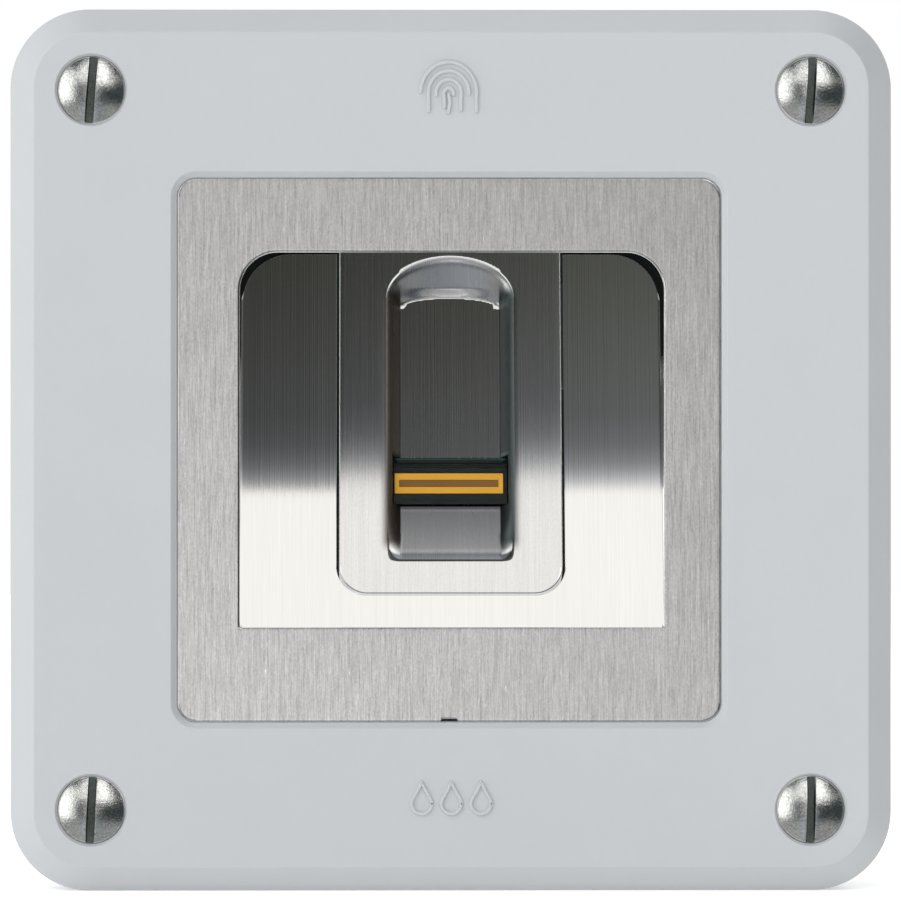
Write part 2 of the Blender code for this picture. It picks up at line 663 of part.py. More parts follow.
def back_cover():
    rim_front = BOARD_BACK + GAP
    plate_front = HOUSING_BACK + GAP
    rim_x, rim_z = BOARD_HALF_X, BOARD_HALF_Z
    rim_wall = 0.0014
    sections = (
        (HOUSING_HALF_X, HOUSING_HALF_Z, 0.0030, BACK_COVER_BACK),
        (HOUSING_HALF_X, HOUSING_HALF_Z, 0.0030, plate_front),
        (rim_x, rim_z, 0.0010, plate_front),
        (rim_x, rim_z, 0.0010, rim_front),
        (rim_x - rim_wall, rim_z - rim_wall, 0.0006, rim_front),
        (rim_x - rim_wall, rim_z - rim_wall, 0.0006, plate_front),
    )
    loops = [at_depth(rounded(x, z, radius), depth) for x, z, radius, depth in sections]
    dark = material("dark_grey_cover", (0.055, 0.057, 0.06), 0.5, 0.0)
    cover = skin("back_cover", loops, dark)
    places = corner_places(POST_X, POST_Z)
    holes = [(circle(HOUSING_HOLE_RADIUS, place, 16), BOARD_BACK, BACK_COVER_BACK + 0.001) for place in places]
    combine(cover, many("back_hole_cutter", holes))
    terminal = square(HEADER_HALF_X + GAP, HEADER_HALF_Z + GAP, (0.0, TERMINAL_Z))
    combine(cover, many("terminal_cutter", [(terminal, HOUSING_BACK, BACK_COVER_BACK + 0.001)]))


def housing_screws():
    zinc = material("housing_screw_steel", (0.5, 0.5, 0.52), 0.35, 1.0)
    seat = BACK_COVER_BACK + GAP
    head = seat + 0.0016
    profile = (
        (HOUSING_SCREW_RADIUS, 0.0080),
        (HOUSING_SCREW_RADIUS, seat),
        (0.0023, seat),
        (0.0023, head - 0.0005),
        (0.0017, head),
    )
    for corner, (side_x, side_z) in CORNERS.items():
        place = (side_x * POST_X, 0.0, side_z * POST_Z)
        screw = turned("housing_screw_" + corner, profile, zinc, steps=12, location=place)
        slotted_head(screw, head, 0.0007, 0.0007)


def main_board():
    edge = square(BOARD_HALF_X, BOARD_HALF_Z)
    holes = [circle(HOUSING_HOLE_RADIUS, place, 16) for place in corner_places(POST_X, POST_Z)]
    green = material("main_board_green", (0.015, 0.14, 0.06), 0.4, 0.0)
    plate("main_board", [edge] + holes, BOARD_FRONT, BOARD_BACK, green)


def on_board(name, size, x, z, finish):
    """A box that stands on the front of the main board. Its size is across, off the board and upwards."""
    y = BOARD_FRONT - GAP - size[1] / 2
    made = block(name, size, finish, location=(x, y, z))
    soften(made, 0.0002)


def can_on_board(name, radius, height, x, z, finish):
    foot = -GAP
    top = -GAP - height
    profile = ((radius, foot), (radius, top + 0.0004), (radius - 0.0004, top))
    turned(name, profile, finish, steps=24, location=(x, BOARD_FRONT, z))


def electronics():
    chip = material("chip_black", (0.02, 0.02, 0.02), 0.45, 0.0)
    can = material("nickel_can", (0.6, 0.6, 0.58), 0.25, 1.0)
    socket = material("ivory_socket", (0.7, 0.66, 0.55), 0.5, 0.0)
    clear = material("led_lens", (0.75, 0.85, 0.8), 0.1, 0.0)
    acrylic = material("clear_acrylic", (0.85, 0.88, 0.9), 0.05, 0.0)
    on_board("processor_chip", (0.0120, 0.0014, 0.0120), -0.0050, 0.0050, chip)
    on_board("transceiver_chip", (0.0050, 0.0016, 0.0062), 0.0140, -0.0060, chip)
    on_board("crystal_can", (0.0035, 0.0012, 0.0050), 0.0070, 0.0040, can)
    on_board("flex_socket", (0.0110, 0.0020, 0.0032), 0.0, -0.0155, socket)
    on_board("status_led", (0.0024, 0.0010, 0.0016), 0.0, 0.0258, clear)
    can_on_board("capacitor_upper", 0.0031, 0.0077, -0.0170, -0.0090, can)
    can_on_board("capacitor_lower", 0.0031, 0.0077, -0.0170, -0.0175, can)
    can_on_board("buzzer", 0.0060, 0.0055, 0.0130, 0.0130, chip)
    front, back = FACE_BACK + 2 * GAP, BOARD_FRONT - 0.0010 - 2 * GAP
    outline = square(0.0016, 0.0008, (0.0, 0.0261))
    guide = plate("light_guide", [outline], front, back, acrylic)
    soften(guide, 0.0002)


def pole_places():
    return [POLE_PITCH * (pole - (POLES - 1) / 2) for pole in range(POLES)]


def terminal_header():
    front = BOARD_BACK + GAP
    cavity = HEADER_BACK - 0.0106
    outer = square(HEADER_HALF_X, HEADER_HALF_Z, (0.0, TERMINAL_Z))
    inner = square(HEADER_HALF_X - HEADER_WALL, HEADER_HALF_Z - HEADER_WALL, (0.0, TERMINAL_Z))
    stack = ((outer, front), (outer, HEADER_BACK), (inner, HEADER_BACK), (inner, cavity))
    black = material("terminal_black", (0.03, 0.03, 0.03), 0.5, 0.0)
    header = skin("terminal_header", [at_depth(o, y) for o, y in stack], black)
    pins = [(square(0.0005, 0.0005, (x, TERMINAL_Z)), cavity - 0.0005, HEADER_BACK - 0.0040) for x in pole_places()]
    combine(header, many("header_pin_helper", pins), "UNION")


def terminal_plug():
    nose_front = HEADER_BACK - 0.0100
    shoulder = HEADER_BACK + GAP
    nose_wall = HEADER_WALL + GAP
    nose = square(HEADER_HALF_X - nose_wall, HEADER_HALF_Z - nose_wall, (0.0, TERMINAL_Z))
    body = square(HEADER_HALF_X, PLUG_HALF_Z, (0.0, TERMINAL_Z))
    stack = ((nose, nose_front), (nose, shoulder), (body, shoulder), (body, PLUG_BACK))
    grey = material("terminal_green", (0.08, 0.32, 0.12), 0.5, 0.0)
    plug = skin("terminal_plug", [at_depth(o, y) for o, y in stack], grey)
    sockets = [(square(0.0008, 0.0008, (x, TERMINAL_Z)), nose_front - 0.001, HEADER_BACK - 0.0030) for x in pole_places()]
    combine(plug, many("pin_socket_cutter", sockets))
    wires = [(square(0.0014, 0.0014, (x, TERMINAL_Z - 0.0016)), 0.0330, PLUG_BACK + 0.001) for x in pole_places()]
    combine(plug, many("wire_entry_cutter", wires))
    top = TERMINAL_Z + PLUG_HALF_Z
    screw_y = 0.0310
    zinc = material("clamp_screw_steel", (0.6, 0.58, 0.5), 0.35, 1.0)
    profile = ((0.0010, 0.0050), (0.0010, 0.0023), (0.0016, 0.0023), (0.0016, 0.0005))
    for number, x in enumerate(pole_places(), start=1):
        well = turned(f"clamp_well_{number}_cutter", ((0.0019, -0.001), (0.0019, 0.0026)), None, steps=16)
        bore = turned(f"clamp_bore_{number}_cutter", ((0.0013, 0.0020), (0.0013, 0.0053)), None, steps=16)
        screw = turned(f"clamp_screw_{number}", profile, zinc, steps=16)
        for piece in (well, bore, screw):
            piece.location = (x, screw_y, top)
            piece.rotation_euler.x = math.radians(-90)
        slotted_head(screw, 0.0005, 0.0006, 0.0007)
        combine(plug, well)
        combine(plug, bore)


# Support plate and what fixes it


def slot_outline(x, half_width, half_length):
    upper = [(x + px, half_length - half_width + pz) for px, pz in circle(half_width, steps=16)[:9]]
    return upper + [(2 * x - px, -pz) for px, pz in upper]


def support_plate():
    edge = rounded(PLATE_HALF, PLATE_HALF, PLATE_RADIUS)
    aperture = rounded(HOUSING_HALF_X + GAP, HOUSING_HALF_Z + GAP, 0.0030)
    holes = [circle(STANDOFF_NECK_RADIUS + GAP, place) for place in corner_places(SCREW_PITCH_HALF, SCREW_PITCH_HALF)]
    slots = [slot_outline(side * BOX_SCREW_X, 0.0021, 0.0045) for side in (-1, 1)]
    steel = material("support_plate_steel", (0.5, 0.51, 0.52), 0.4, 1.0)
    support = plate("support_plate", [edge, aperture] + holes + slots, -PLATE_THICKNESS, 0.0, steel)
    pad_front = BEZEL_FLANGE_BACK + GAP
    pads = [(circle(0.0016, place, 16), pad_front, -PLATE_THICKNESS / 2) for place in corner_places(0.0310, 0.0312)]
    combine(support, many("pad_helper", pads), "UNION")


def box_screws():
    zinc = material("box_screw_steel", (0.58, 0.56, 0.48), 0.35, 1.0)
    seat = -PLATE_THICKNESS - GAP
    head = BEZEL_FLANGE_BACK + 0.0004
    profile = ((0.0010, 0.0160), (0.0016, 0.0145), (0.0016, seat), (0.00325, seat), (0.00325, head + 0.0005), (0.0024, head))
    for side, name in ((-1, "box_screw_left"), (1, "box_screw_right")):
        screw = turned(name, profile, zinc, steps=16, location=(side * BOX_SCREW_X, 0.0, 0.0))
        slotted_head(screw, head, 0.0008, 0.0007, math.radians(35))


def spring_clips():
    spring = material("spring_steel", (0.55, 0.55, 0.56), 0.3, 1.0)
    wall = HOUSING_HALF_Z + GAP + 0.00025
    path = ((0.0150, wall), (0.0095, wall), (0.0085, wall + 0.0001), (0.0035, 0.0322), (0.0025, 0.0323), (0.0006, 0.0314))
    ribbon("spring_clip_top", path, 0.0050, 0.0005, spring)
    ribbon("spring_clip_bottom", [(y, -z) for y, z in path], 0.0050, 0.0005, spring)


def empty(name, location=(0.0, 0.0, 0.0)):
    made = bpy.data.objects.new(name, None)
    bpy.context.collection.objects.link(made)
    made.location = location
    return made


def build():
    for old in list(bpy.data.objects):
        bpy.data.objects.remove(old)
    ramp = empty("ramp_frame", (0.0, RAMP_FOOT_Y, OPENING_BOTTOM))
    ramp.rotation_euler.x = -RAMP_TILT
    cover_frame()
    seals()
    cover_screws()
    standoffs()
    faceplate()
    ramp_tray(ramp)
    finger_guide(ramp)
    sensor(ramp)
    front_bezel()
    module_housing()
    back_cover()
    housing_screws()
    main_board()
    electronics()
    terminal_header()
    terminal_plug()
    support_plate()
    box_screws()
    spring_clips()
    unplaced = [made for made in bpy.data.objects if made.parent is None]
    wall = empty("wall_plane", (0.0, -MIDDLE_DEPTH, 0.0))
    for made in unplaced:
        made.parent = wall


build()
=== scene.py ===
"""The looks of the fingerprint scanner terminal: fine meshes, materials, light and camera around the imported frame.

Metres, +Z up, front towards -Y. Pieces are modelled in the row frame, so their vertices hold their place."""

import json
import math

import bmesh
import bpy
from mathutils import Matrix, Vector, noise


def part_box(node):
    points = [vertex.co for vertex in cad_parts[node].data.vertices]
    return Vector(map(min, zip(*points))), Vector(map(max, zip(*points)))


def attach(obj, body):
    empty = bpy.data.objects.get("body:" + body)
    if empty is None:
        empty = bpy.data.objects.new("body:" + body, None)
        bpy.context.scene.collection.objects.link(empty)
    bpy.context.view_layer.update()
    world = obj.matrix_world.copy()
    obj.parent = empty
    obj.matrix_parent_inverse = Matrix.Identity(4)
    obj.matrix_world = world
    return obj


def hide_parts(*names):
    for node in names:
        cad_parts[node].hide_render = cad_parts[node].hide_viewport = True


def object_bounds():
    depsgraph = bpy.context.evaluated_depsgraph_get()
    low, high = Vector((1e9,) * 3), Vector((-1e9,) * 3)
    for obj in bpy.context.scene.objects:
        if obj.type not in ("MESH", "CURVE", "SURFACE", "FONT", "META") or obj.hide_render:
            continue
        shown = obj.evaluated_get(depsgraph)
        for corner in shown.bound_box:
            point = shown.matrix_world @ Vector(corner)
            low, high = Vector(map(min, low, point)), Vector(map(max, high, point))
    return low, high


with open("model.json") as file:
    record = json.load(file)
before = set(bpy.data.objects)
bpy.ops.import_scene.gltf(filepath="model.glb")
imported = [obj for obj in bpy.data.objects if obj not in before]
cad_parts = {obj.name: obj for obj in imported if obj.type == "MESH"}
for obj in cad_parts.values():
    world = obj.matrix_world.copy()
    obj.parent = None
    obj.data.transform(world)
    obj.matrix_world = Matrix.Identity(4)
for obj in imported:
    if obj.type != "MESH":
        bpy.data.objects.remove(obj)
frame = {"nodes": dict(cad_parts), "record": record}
cad_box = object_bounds()

MM = 0.001
GAP = 0.3 * MM
RECORD = frame["record"]
BODY_OF = {node: body for body, nodes in RECORD["behaviour"]["bodies"].items() for node in nodes}
CORNERS = ("top_left", "top_right", "bottom_left", "bottom_right")

# Places taken from the frame
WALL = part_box("support_plate")[1].y
COVER_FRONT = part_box("cover_frame")[0].y
COVER_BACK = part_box("cover_frame")[1].y
COVER_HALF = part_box("cover_frame")[1].x
FACE_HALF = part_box("faceplate")[1].x
FACE_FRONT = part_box("faceplate")[0].y
FACE_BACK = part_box("faceplate")[1].y
WINDOW_HALF = FACE_HALF + GAP
SCREW_PLACES = {corner: sum(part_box("cover_screw_" + corner), Vector()) / 2 for corner in CORNERS}

# Cover frame
COVER_RADIUS = 8.8 * MM
COVER_CHAMFER = 2.7 * MM
COVER_WALL = 2.3 * MM
WINDOW_RADIUS = 2.2 * MM
WINDOW_CHAMFER = 0.65 * MM
RIB_WIDTH = 2.1 * MM
RIB_BACK = COVER_FRONT + 4.3 * MM
COUNTERSINK_RADIUS = 4.15 * MM
COUNTERBORE_RADIUS = 3.79 * MM
COUNTERBORE_FLOOR = COVER_FRONT + 3.1 * MM
COVER_HOLE_RADIUS = 2.4 * MM
BOSS_RADIUS = 5.9 * MM
BOSS_BACK = COVER_FRONT + 5.7 * MM

# Generic reliefs on the cover
RELIEF_FRONT = COVER_FRONT + 0.01 * MM
RELIEF_HEIGHT = 0.28 * MM
RIDGE_WIDTH = 0.46 * MM
DROP_LINE_WIDTH = 0.42 * MM

# Cover screws
SCREW_TOP = WALL - 11.6 * MM
SCREW_EDGE = WALL - 10.3 * MM
SCREW_HEAD_BACK = WALL - 9.4 * MM
SCREW_HEAD_RADIUS = 3.70 * MM
SHANK_RADIUS = 2.0 * MM
THREAD_PITCH = 0.7 * MM
THREAD_DEPTH = 0.32 * MM
SLOT_WIDTH = 0.95 * MM

# Faceplate opening
OPENING_HALF = 23.6 * MM
OPENING_BOTTOM = -19.75 * MM
OPENING_TOP = 22.0 * MM
OPENING_RADIUS = 4.2 * MM
FACE_RADIUS = 2.1 * MM
FACE_GROWTH = 0.2 * MM
PLATE_SHIFT = -0.22 * MM
OPENING_SHIFT = 0.08 * MM

# Ramp: a plane through the opening's lower edge, leaning back
RAMP_TILT = math.radians(15.5)
RAMP_FOOT = FACE_BACK + 0.8 * MM
RAMP = Matrix.Translation((0.0, RAMP_FOOT, OPENING_BOTTOM)) @ Matrix.Rotation(-RAMP_TILT, 4, "X")
TRAY_HALF = 23.72 * MM
TRAY_SHEET = 0.6 * MM
TRAY_BEND = 0.25 * MM
TRAY_CORNER_RADIUS = 5.6 * MM
TRAY_CORNER_START = 16.8 * MM
TRAY_RIM_STEP_Z = 8.0 * MM
TRAY_RIM_DROP = 3.5 * MM
TRAY_BOTTOM, TRAY_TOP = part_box("ramp_tray")[0].z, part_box("ramp_tray")[1].z

# Finger guide, in the ramp's frame: X across, Y into the surface, Z up the slope
GUIDE_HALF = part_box("finger_guide")[1].x
GUIDE_START = 4.0 * MM
GUIDE_END = 44.8 * MM
GUIDE_LEAN = math.radians(0.06)
GUIDE_THICKNESS = 3.4 * MM
GUIDE_CORNER = 3.0 * MM
GUIDE_RIM = 0.12 * MM
GROOVE_DEPTH = 2.0 * MM
FLOOR_LEAN = 0.0044
GROOVE_FLOOR_HALF = 5.65 * MM
GROOVE_RIM_HALF = 7.3 * MM
GROOVE_START = 8.35 * MM
GROOVE_EASE = 0.8 * MM
GROOVE_FULL = 14.2 * MM
GROOVE_END_CENTRE = 38.0 * MM
GROOVE_END_FLOOR = 1.0 * MM
GROOVE_END_RIM = 5.3 * MM

# Swipe sensor, in the ramp's frame
SENSOR_CENTRE = (0.0, 17.0 * MM)
WINDOW_CENTRE = 17.3 * MM
WINDOW_HALF_X = 6.55 * MM
WINDOW_HALF_Z = 2.85 * MM
RING_HALF_X = 6.1 * MM
RING_HALF_Z = 1.17 * MM
STRIP_HALF_X = 5.55 * MM
STRIP_HALF_Z = 0.39 * MM
SENSOR_FACE = 1.4 * MM
CARRIER_FACE = SENSOR_FACE + 0.13 * MM
CARRIER_BACK = 3.7 * MM
SENSOR_SHIFT = -0.18 * MM


# Node helpers


class Value:
    """A node's output, for use in sums and products."""

    def __init__(self, nodes, socket):
        self.nodes, self.socket = nodes, socket

    def __add__(self, other):
        return self.nodes.math("ADD", self, other)

    def __sub__(self, other):
        return self.nodes.math("SUBTRACT", self, other)

    def __mul__(self, other):
        return self.nodes.math("MULTIPLY", self, other)

    def at_least(self, other):
        return self.nodes.math("MAXIMUM", self, other)

    def at_most(self, other):
        return self.nodes.math("MINIMUM", self, other)

    def size(self):
        return self.nodes.math("ABSOLUTE", self)

    def fade(self, start, end, low=0.0, high=1.0):
        """low before start, high after end, and a smooth turn between them."""
        inputs = {0: self, 1: start, 2: end, 3: low, 4: high}
        return self.nodes.add("MapRange", inputs, interpolation_type="SMOOTHSTEP")

    def window(self, start, end, soft):
        """1 between start and end, fading to 0 over soft outside them."""
        return self.fade(start - soft, start) * self.fade(end, end + soft, 1.0, 0.0)

    def swing(self, size):
        """Turns a 0..1 noise into -size..size."""
        return (self - 0.5) * (2.0 * size)


class Nodes:
    """Builds a node tree: each call adds nodes and returns the last one's output."""

    def __init__(self, tree):
        self.tree = tree

    def add(self, kind, inputs=None, output=0, **settings):
        node = self.tree.nodes.new("ShaderNode" + kind)
        for key, value in settings.items():
            setattr(node, key, value)
        for key, value in (inputs or {}).items():
            self.feed(node.inputs[key], value)
        return Value(self, node.outputs[output])

    def feed(self, socket, value):
        if isinstance(value, Value):
            self.tree.links.new(value.socket, socket)
        else:
            socket.default_value = value

    def math(self, operation, *values):
        return self.add("Math", dict(enumerate(values)), operation=operation)

    def axes(self, space="Object"):
        """The three coordinates of a place on the surface, or of a direction in the world."""
        split = self.add("SeparateXYZ", {0: self.add("TexCoord", output=space)}).socket.node
        return [Value(self, output) for output in split.outputs]

    def mapped(self, scale, rotation=(0.0, 0.0, 0.0)):
        place = self.add("TexCoord", output="Object")
        return self.add("Mapping", {"Vector": place, "Scale": scale, "Rotation": rotation})

    def noise(self, *scale, detail=2.0, rough=0.5):
        """Noise from 0 to 1, with one scale for all axes or one for each."""
        place = self.mapped(scale if len(scale) == 3 else scale * 3)
        return self.add("TexNoise", {"Vector": place, "Scale": 1.0, "Detail": detail, "Roughness": rough})

    def rgb(self, red, green, blue):
        return self.add("CombineColor", {0: red, 1: green, 2: blue})

    def stops(self, value, colours):
        """A colour ramp through (place, colour) stops."""
        output = self.add("ValToRGB", {0: value})
        elements = output.socket.node.color_ramp.elements
        elements.remove(elements[1])
        elements[0].position = colours[0][0]
        elements[0].color = (*colours[0][1], 1.0)
        for place, colour in colours[1:]:
            elements.new(place).color = (*colour, 1.0)
        return output

    def blend(self, share, first, second, mode="MIX"):
        inputs = {0: share, 6: first, 7: second}
        return self.add("Mix", inputs, output=2, data_type="RGBA", blend_type=mode)

    def shade(self, colour, amount):
        """A colour multiplied by one plus a signed amount."""
        factor = amount + 1.0
        return self.blend(1.0, colour, self.rgb(factor, factor, factor), "MULTIPLY")

    def bump(self, height, distance):
        return self.add("Bump", {"Height": height, "Distance": distance, "Strength": 1.0})


class Surface(Nodes):
    """The nodes of a new material."""

    def __init__(self, name):
        self.material = bpy.data.materials.new(name)
        self.material.use_nodes = True
        super().__init__(self.material.node_tree)

    def finish(self, **values):
        """Feeds the surface's inputs, with _ for each space in their names, and returns the material."""
        principled = self.tree.nodes["Principled BSDF"]
        for key, value in values.items():
            self.feed(principled.inputs[key.replace("_", " ")], value)
        return self.material


# Materials. Noise scales are in grains to the metre.


def moulded_plastic(name, colour, roughness=0.5, texture=0.11, height=0.004, mottling=0.02):
    """Injection moulding with a fine spark-eroded surface. texture and height are in millimetres."""
    nodes = Surface(name)
    fine = nodes.noise(1 / (texture * MM), detail=3.0, rough=0.6)
    broad = nodes.noise(90, detail=4.0)
    mottle = broad.swing(mottling) + nodes.noise(1400).swing(mottling * 0.5)
    return nodes.finish(
        Base_Color=nodes.shade(nodes.rgb(*colour), mottle),
        Roughness=broad.swing(0.05) + fine.swing(0.05) + roughness,
        Normal=nodes.bump(fine, height * MM),
    )


def brushed_steel(name, colour, roughness, contrast, scratches, run=7.0, specks=0.0, tint=None, dulled=0.0):
    """Stainless steel brushed along Z. run is the lines' length in millimetres, and dulled the roughness that
    forming adds. tint is a function that paints shade into the colour and says how much of the metal's reflection it
    takes away with it, from 0 to 1."""
    nodes = Surface(name)
    line_width, line_slope = 0.12 * MM, 0.03
    across, along = 1 / line_width, 1 / (run * MM)
    fine = nodes.noise(across, along, along, rough=0.6)
    wide = nodes.noise(across / 3.1, along / 2.3, along / 2.3, detail=3.0, rough=0.6)
    long_lines = nodes.noise(across / 1.4, along / 5, along / 5, detail=1.0)
    grooves = nodes.noise(across / 1.2, 4.0, 4.0)
    marks = nodes.noise(across * 0.8, along * 1.7, along * 1.7).fade(0.68, 0.80)
    cloud = nodes.noise(120, 60, 60, detail=3.0)
    speckle = nodes.noise(across * 0.9, across * 0.45, across * 0.45, detail=1.0)
    lines = fine * 0.5 + wide * 0.3 + long_lines * 0.2
    tone = lines.swing(contrast) + marks * scratches + cloud.swing(0.03) + speckle.swing(specks)
    shaded, painted_shade_share = nodes.shade(nodes.rgb(*colour), tone), 0.0
    if tint:
        # tint paints shade into the colour, and its share takes the metal's reflection away where that shade is
        # painted.
        shaded, painted_shade_share = tint(nodes, shaded)
    return nodes.finish(
        Base_Color=shaded,
        Metallic=nodes.math("SUBTRACT", 1.0, painted_shade_share),
        Specular_IOR_Level=nodes.math("MULTIPLY_ADD", painted_shade_share, -0.5, 0.5),
        Roughness=wide.swing(roughness * 0.2) + roughness + formed(nodes) * dulled,
        Anisotropic=0.8,
        Tangent=nodes.add("CombineXYZ", {0: 1.0}),
        Normal=nodes.bump(grooves, line_slope * line_width),
    )


def formed(nodes):
    """1 where a surface has been drawn out of the ramp's plane and lost its brushed gloss, 0 on flat sheet."""

    def facing(*towards):
        inputs = {0: nodes.add("NewGeometry", output="Normal"), 1: towards}
        return nodes.add("VectorMath", inputs, output="Value", operation="DOT_PRODUCT")

    off_ramp = facing(0.0, -math.cos(RAMP_TILT), math.sin(RAMP_TILT)).fade(0.9985, 0.96)
    return off_ramp * facing(0.0, -1.0, 0.0).fade(0.9999, 0.9985)


def corner_shadow(nodes, shaded):
    """Painted shade for the tray: its walls are painted darker upwards, and its upper corners are painted near black
    for the opening's shade.
    """
    x, _, z = nodes.axes()
    aside = ((x - OPENING_SHIFT).size() - (TRAY_HALF - TRAY_CORNER_RADIUS)).at_least(0.0)
    above = (z - TRAY_CORNER_START).at_least(0.0)
    reach = nodes.math("SQRT", aside * aside + above * above)
    reach = reach + z.fade(TRAY_CORNER_START, TRAY_CORNER_START + 1.5 * MM, 0.0, 0.16 * MM)
    share = reach.fade(TRAY_CORNER_RADIUS - 0.17 * MM, TRAY_CORNER_RADIUS - 0.07 * MM)
    share = share * z.fade(6.6 * MM, 10.6 * MM)
    # Painted shadow: near black where the opening's shade falls on the walls and corners.
    return nodes.blend(share, shaded, nodes.rgb(0.012, 0.014, 0.014)), share


def groove_painted_shade(nodes, shaded):
    """Painted shade and painted reflections for the guide: the groove's side walls are painted darker and a little less
    reflective, with a brownish painted reflection left and a greenish one right, and its run-out below the sensor is
    painted dark."""
    x, _, z = nodes.axes()
    sideways = x.size()
    side = sideways.fade(GROOVE_RIM_HALF + 0.8 * MM, GROOVE_RIM_HALF - 0.4 * MM)
    crease = sideways.fade(GROOVE_FLOOR_HALF - 0.15 * MM, GROOVE_FLOOR_HALF)
    share = side * crease * z.window(OPENING_BOTTOM + 9.8 * MM, 17.5 * MM, 1.6 * MM) * 0.95
    # Painted reflections on the groove's walls, brownish left and greenish right, over painted shade.
    colour = nodes.blend(x.fade(-0.5 * MM, 0.5 * MM), nodes.rgb(0.13, 0.10, 0.075), nodes.rgb(0.06, 0.09, 0.088))
    walls = nodes.blend(share, shaded, nodes.blend(1.0, shaded, colour, "MULTIPLY"))
    start, end = (OPENING_BOTTOM + up * math.cos(RAMP_TILT) for up in (GROOVE_START, WINDOW_CENTRE - WINDOW_HALF_Z))
    # Painted dark reflection on the run-out below the sensor.
    run_out = sideways.fade(GROOVE_RIM_HALF - 0.3 * MM, GROOVE_FLOOR_HALF - 0.1 * MM)
    run_out = run_out * z.window(start + 0.2 * MM, end + 0.3 * MM, 0.7 * MM) * z.fade(start - 2.5 * MM, end, 0.36, 0.70)
    return nodes.blend(run_out, walls, nodes.rgb(0.02, 0.021, 0.022)), share * 0.25


def turned_metal(name, colour, roughness=0.2, wear=0.1, speck=0.35, height=0.003):
    """Plated or polished metal with fine random handling marks and slight waviness. speck and height in mm."""
    nodes = Surface(name)
    grain = nodes.noise(1 / (speck * MM), detail=5.0, rough=0.7)
    pits = nodes.noise(4200).fade(0.62, 0.75)
    tone = nodes.noise(420, detail=3.0).swing(wear * 0.6) + grain.swing(wear * 2.5) + pits * -wear
    return nodes.finish(
        Base_Color=nodes.shade(nodes.rgb(*colour), tone),
        Metallic=1.0,
        Roughness=grain.swing(0.10) + pits * 0.15 + roughness,
        Normal=nodes.bump(grain, height * MM),
    )


def galvanised(name, colour):
    """Zinc-coated sheet: faint spangles, each with its own tone and gloss."""
    nodes = Surface(name)
    spangle = nodes.add("TexVoronoi", {"Vector": nodes.mapped((330, 330, 330)), "Scale": 1.0}, output="Color")
    level = nodes.add("SeparateColor", {0: spangle})
    fine = nodes.noise(5000)
    tone = level.swing(0.07) + nodes.noise(60, detail=4.0).swing(0.06) + fine.swing(0.04)
    return nodes.finish(
        Base_Color=nodes.shade(nodes.rgb(*colour), tone),
        Metallic=1.0,
        Roughness=level.swing(0.08) + fine.swing(0.05) + 0.42,
        Normal=nodes.bump(fine, 0.004 * MM),
    )


def rubber(name):
    """Black rubber with a dusty bloom."""
    nodes = Surface(name)
    fine = nodes.noise(4000, detail=4.0, rough=0.7)
    bloom = nodes.noise(260, detail=5.0, rough=0.65).fade(0.5, 0.8, 0.0, 0.35)
    return nodes.finish(
        Base_Color=nodes.blend(bloom, nodes.rgb(0.022, 0.022, 0.023), nodes.rgb(0.07, 0.07, 0.07)),
        Roughness=fine.swing(0.08) + 0.72,
        Normal=nodes.bump(fine, 0.012 * MM),
    )


def solder_mask(name):
    """Green circuit board: mask over copper lines that run square to each other."""
    nodes = Surface(name)
    layout = {
        "Vector": nodes.mapped((520, 520, 520), (math.pi / 2, 0, 0)),
        "Color1": (1, 1, 1, 1),
        "Color2": (0.8, 0.8, 0.8, 1),
        "Mortar": (0, 0, 0, 1),
        "Mortar Size": 0.05,
        "Brick Width": 1.7,
        "Row Height": 0.45,
    }
    cloud = nodes.noise(300, detail=3.0)
    traces = nodes.add("TexBrick", layout, output="Fac") * cloud.fade(0.45, 0.55)
    green = nodes.blend(traces, nodes.rgb(0.003, 0.024, 0.011), nodes.rgb(0.008, 0.060, 0.025))
    return nodes.finish(
        Base_Color=nodes.shade(green, cloud.swing(0.08)),
        Roughness=cloud.swing(0.06) + 0.32,
        Specular_IOR_Level=0.25,
        Normal=nodes.bump(traces, 0.03 * MM),
    )


def clear_moulding(name):
    """Clear acrylic with faint flow ripples."""
    nodes = Surface(name)
    ripple = nodes.noise(900)
    return nodes.finish(
        Base_Color=nodes.shade(nodes.rgb(0.9, 0.94, 0.96), ripple.swing(0.03)),
        Roughness=ripple.swing(0.03) + 0.06,
        Transmission_Weight=0.85,
        IOR=1.49,
        Normal=nodes.bump(ripple, 0.01 * MM),
    )


def sensing_line(name):
    """The brown sensing strip: rows of fine sensing dots under a hard coating."""
    nodes = Surface(name)
    rows = nodes.add("TexWave", {"Vector": nodes.mapped((9000, 0, 0)), "Scale": 1.0}, output="Fac")
    tone = rows.swing(0.06) + nodes.noise(260, 900, 900, detail=3.0).swing(0.14)
    return nodes.finish(
        Base_Color=nodes.shade(nodes.rgb(0.165, 0.083, 0.021), tone),
        Roughness=0.4,
        Specular_IOR_Level=0.15,
        Normal=nodes.bump(rows, 0.002 * MM),
    )


def gold_plate(name):
    """Gold electrode, slightly worn along the swipe."""
    nodes = Surface(name)
    fine = nodes.noise(3000, 3000, 9000, detail=4.0, rough=0.65)
    tone = fine.swing(0.08) + nodes.noise(240, 900, 900, detail=3.0).swing(0.12)
    return nodes.finish(
        Base_Color=nodes.shade(nodes.rgb(0.60, 0.30, 0.020), tone),
        Metallic=0.35,
        Roughness=fine.swing(0.08) + 0.38,
        Normal=nodes.bump(fine, 0.003 * MM),
    )


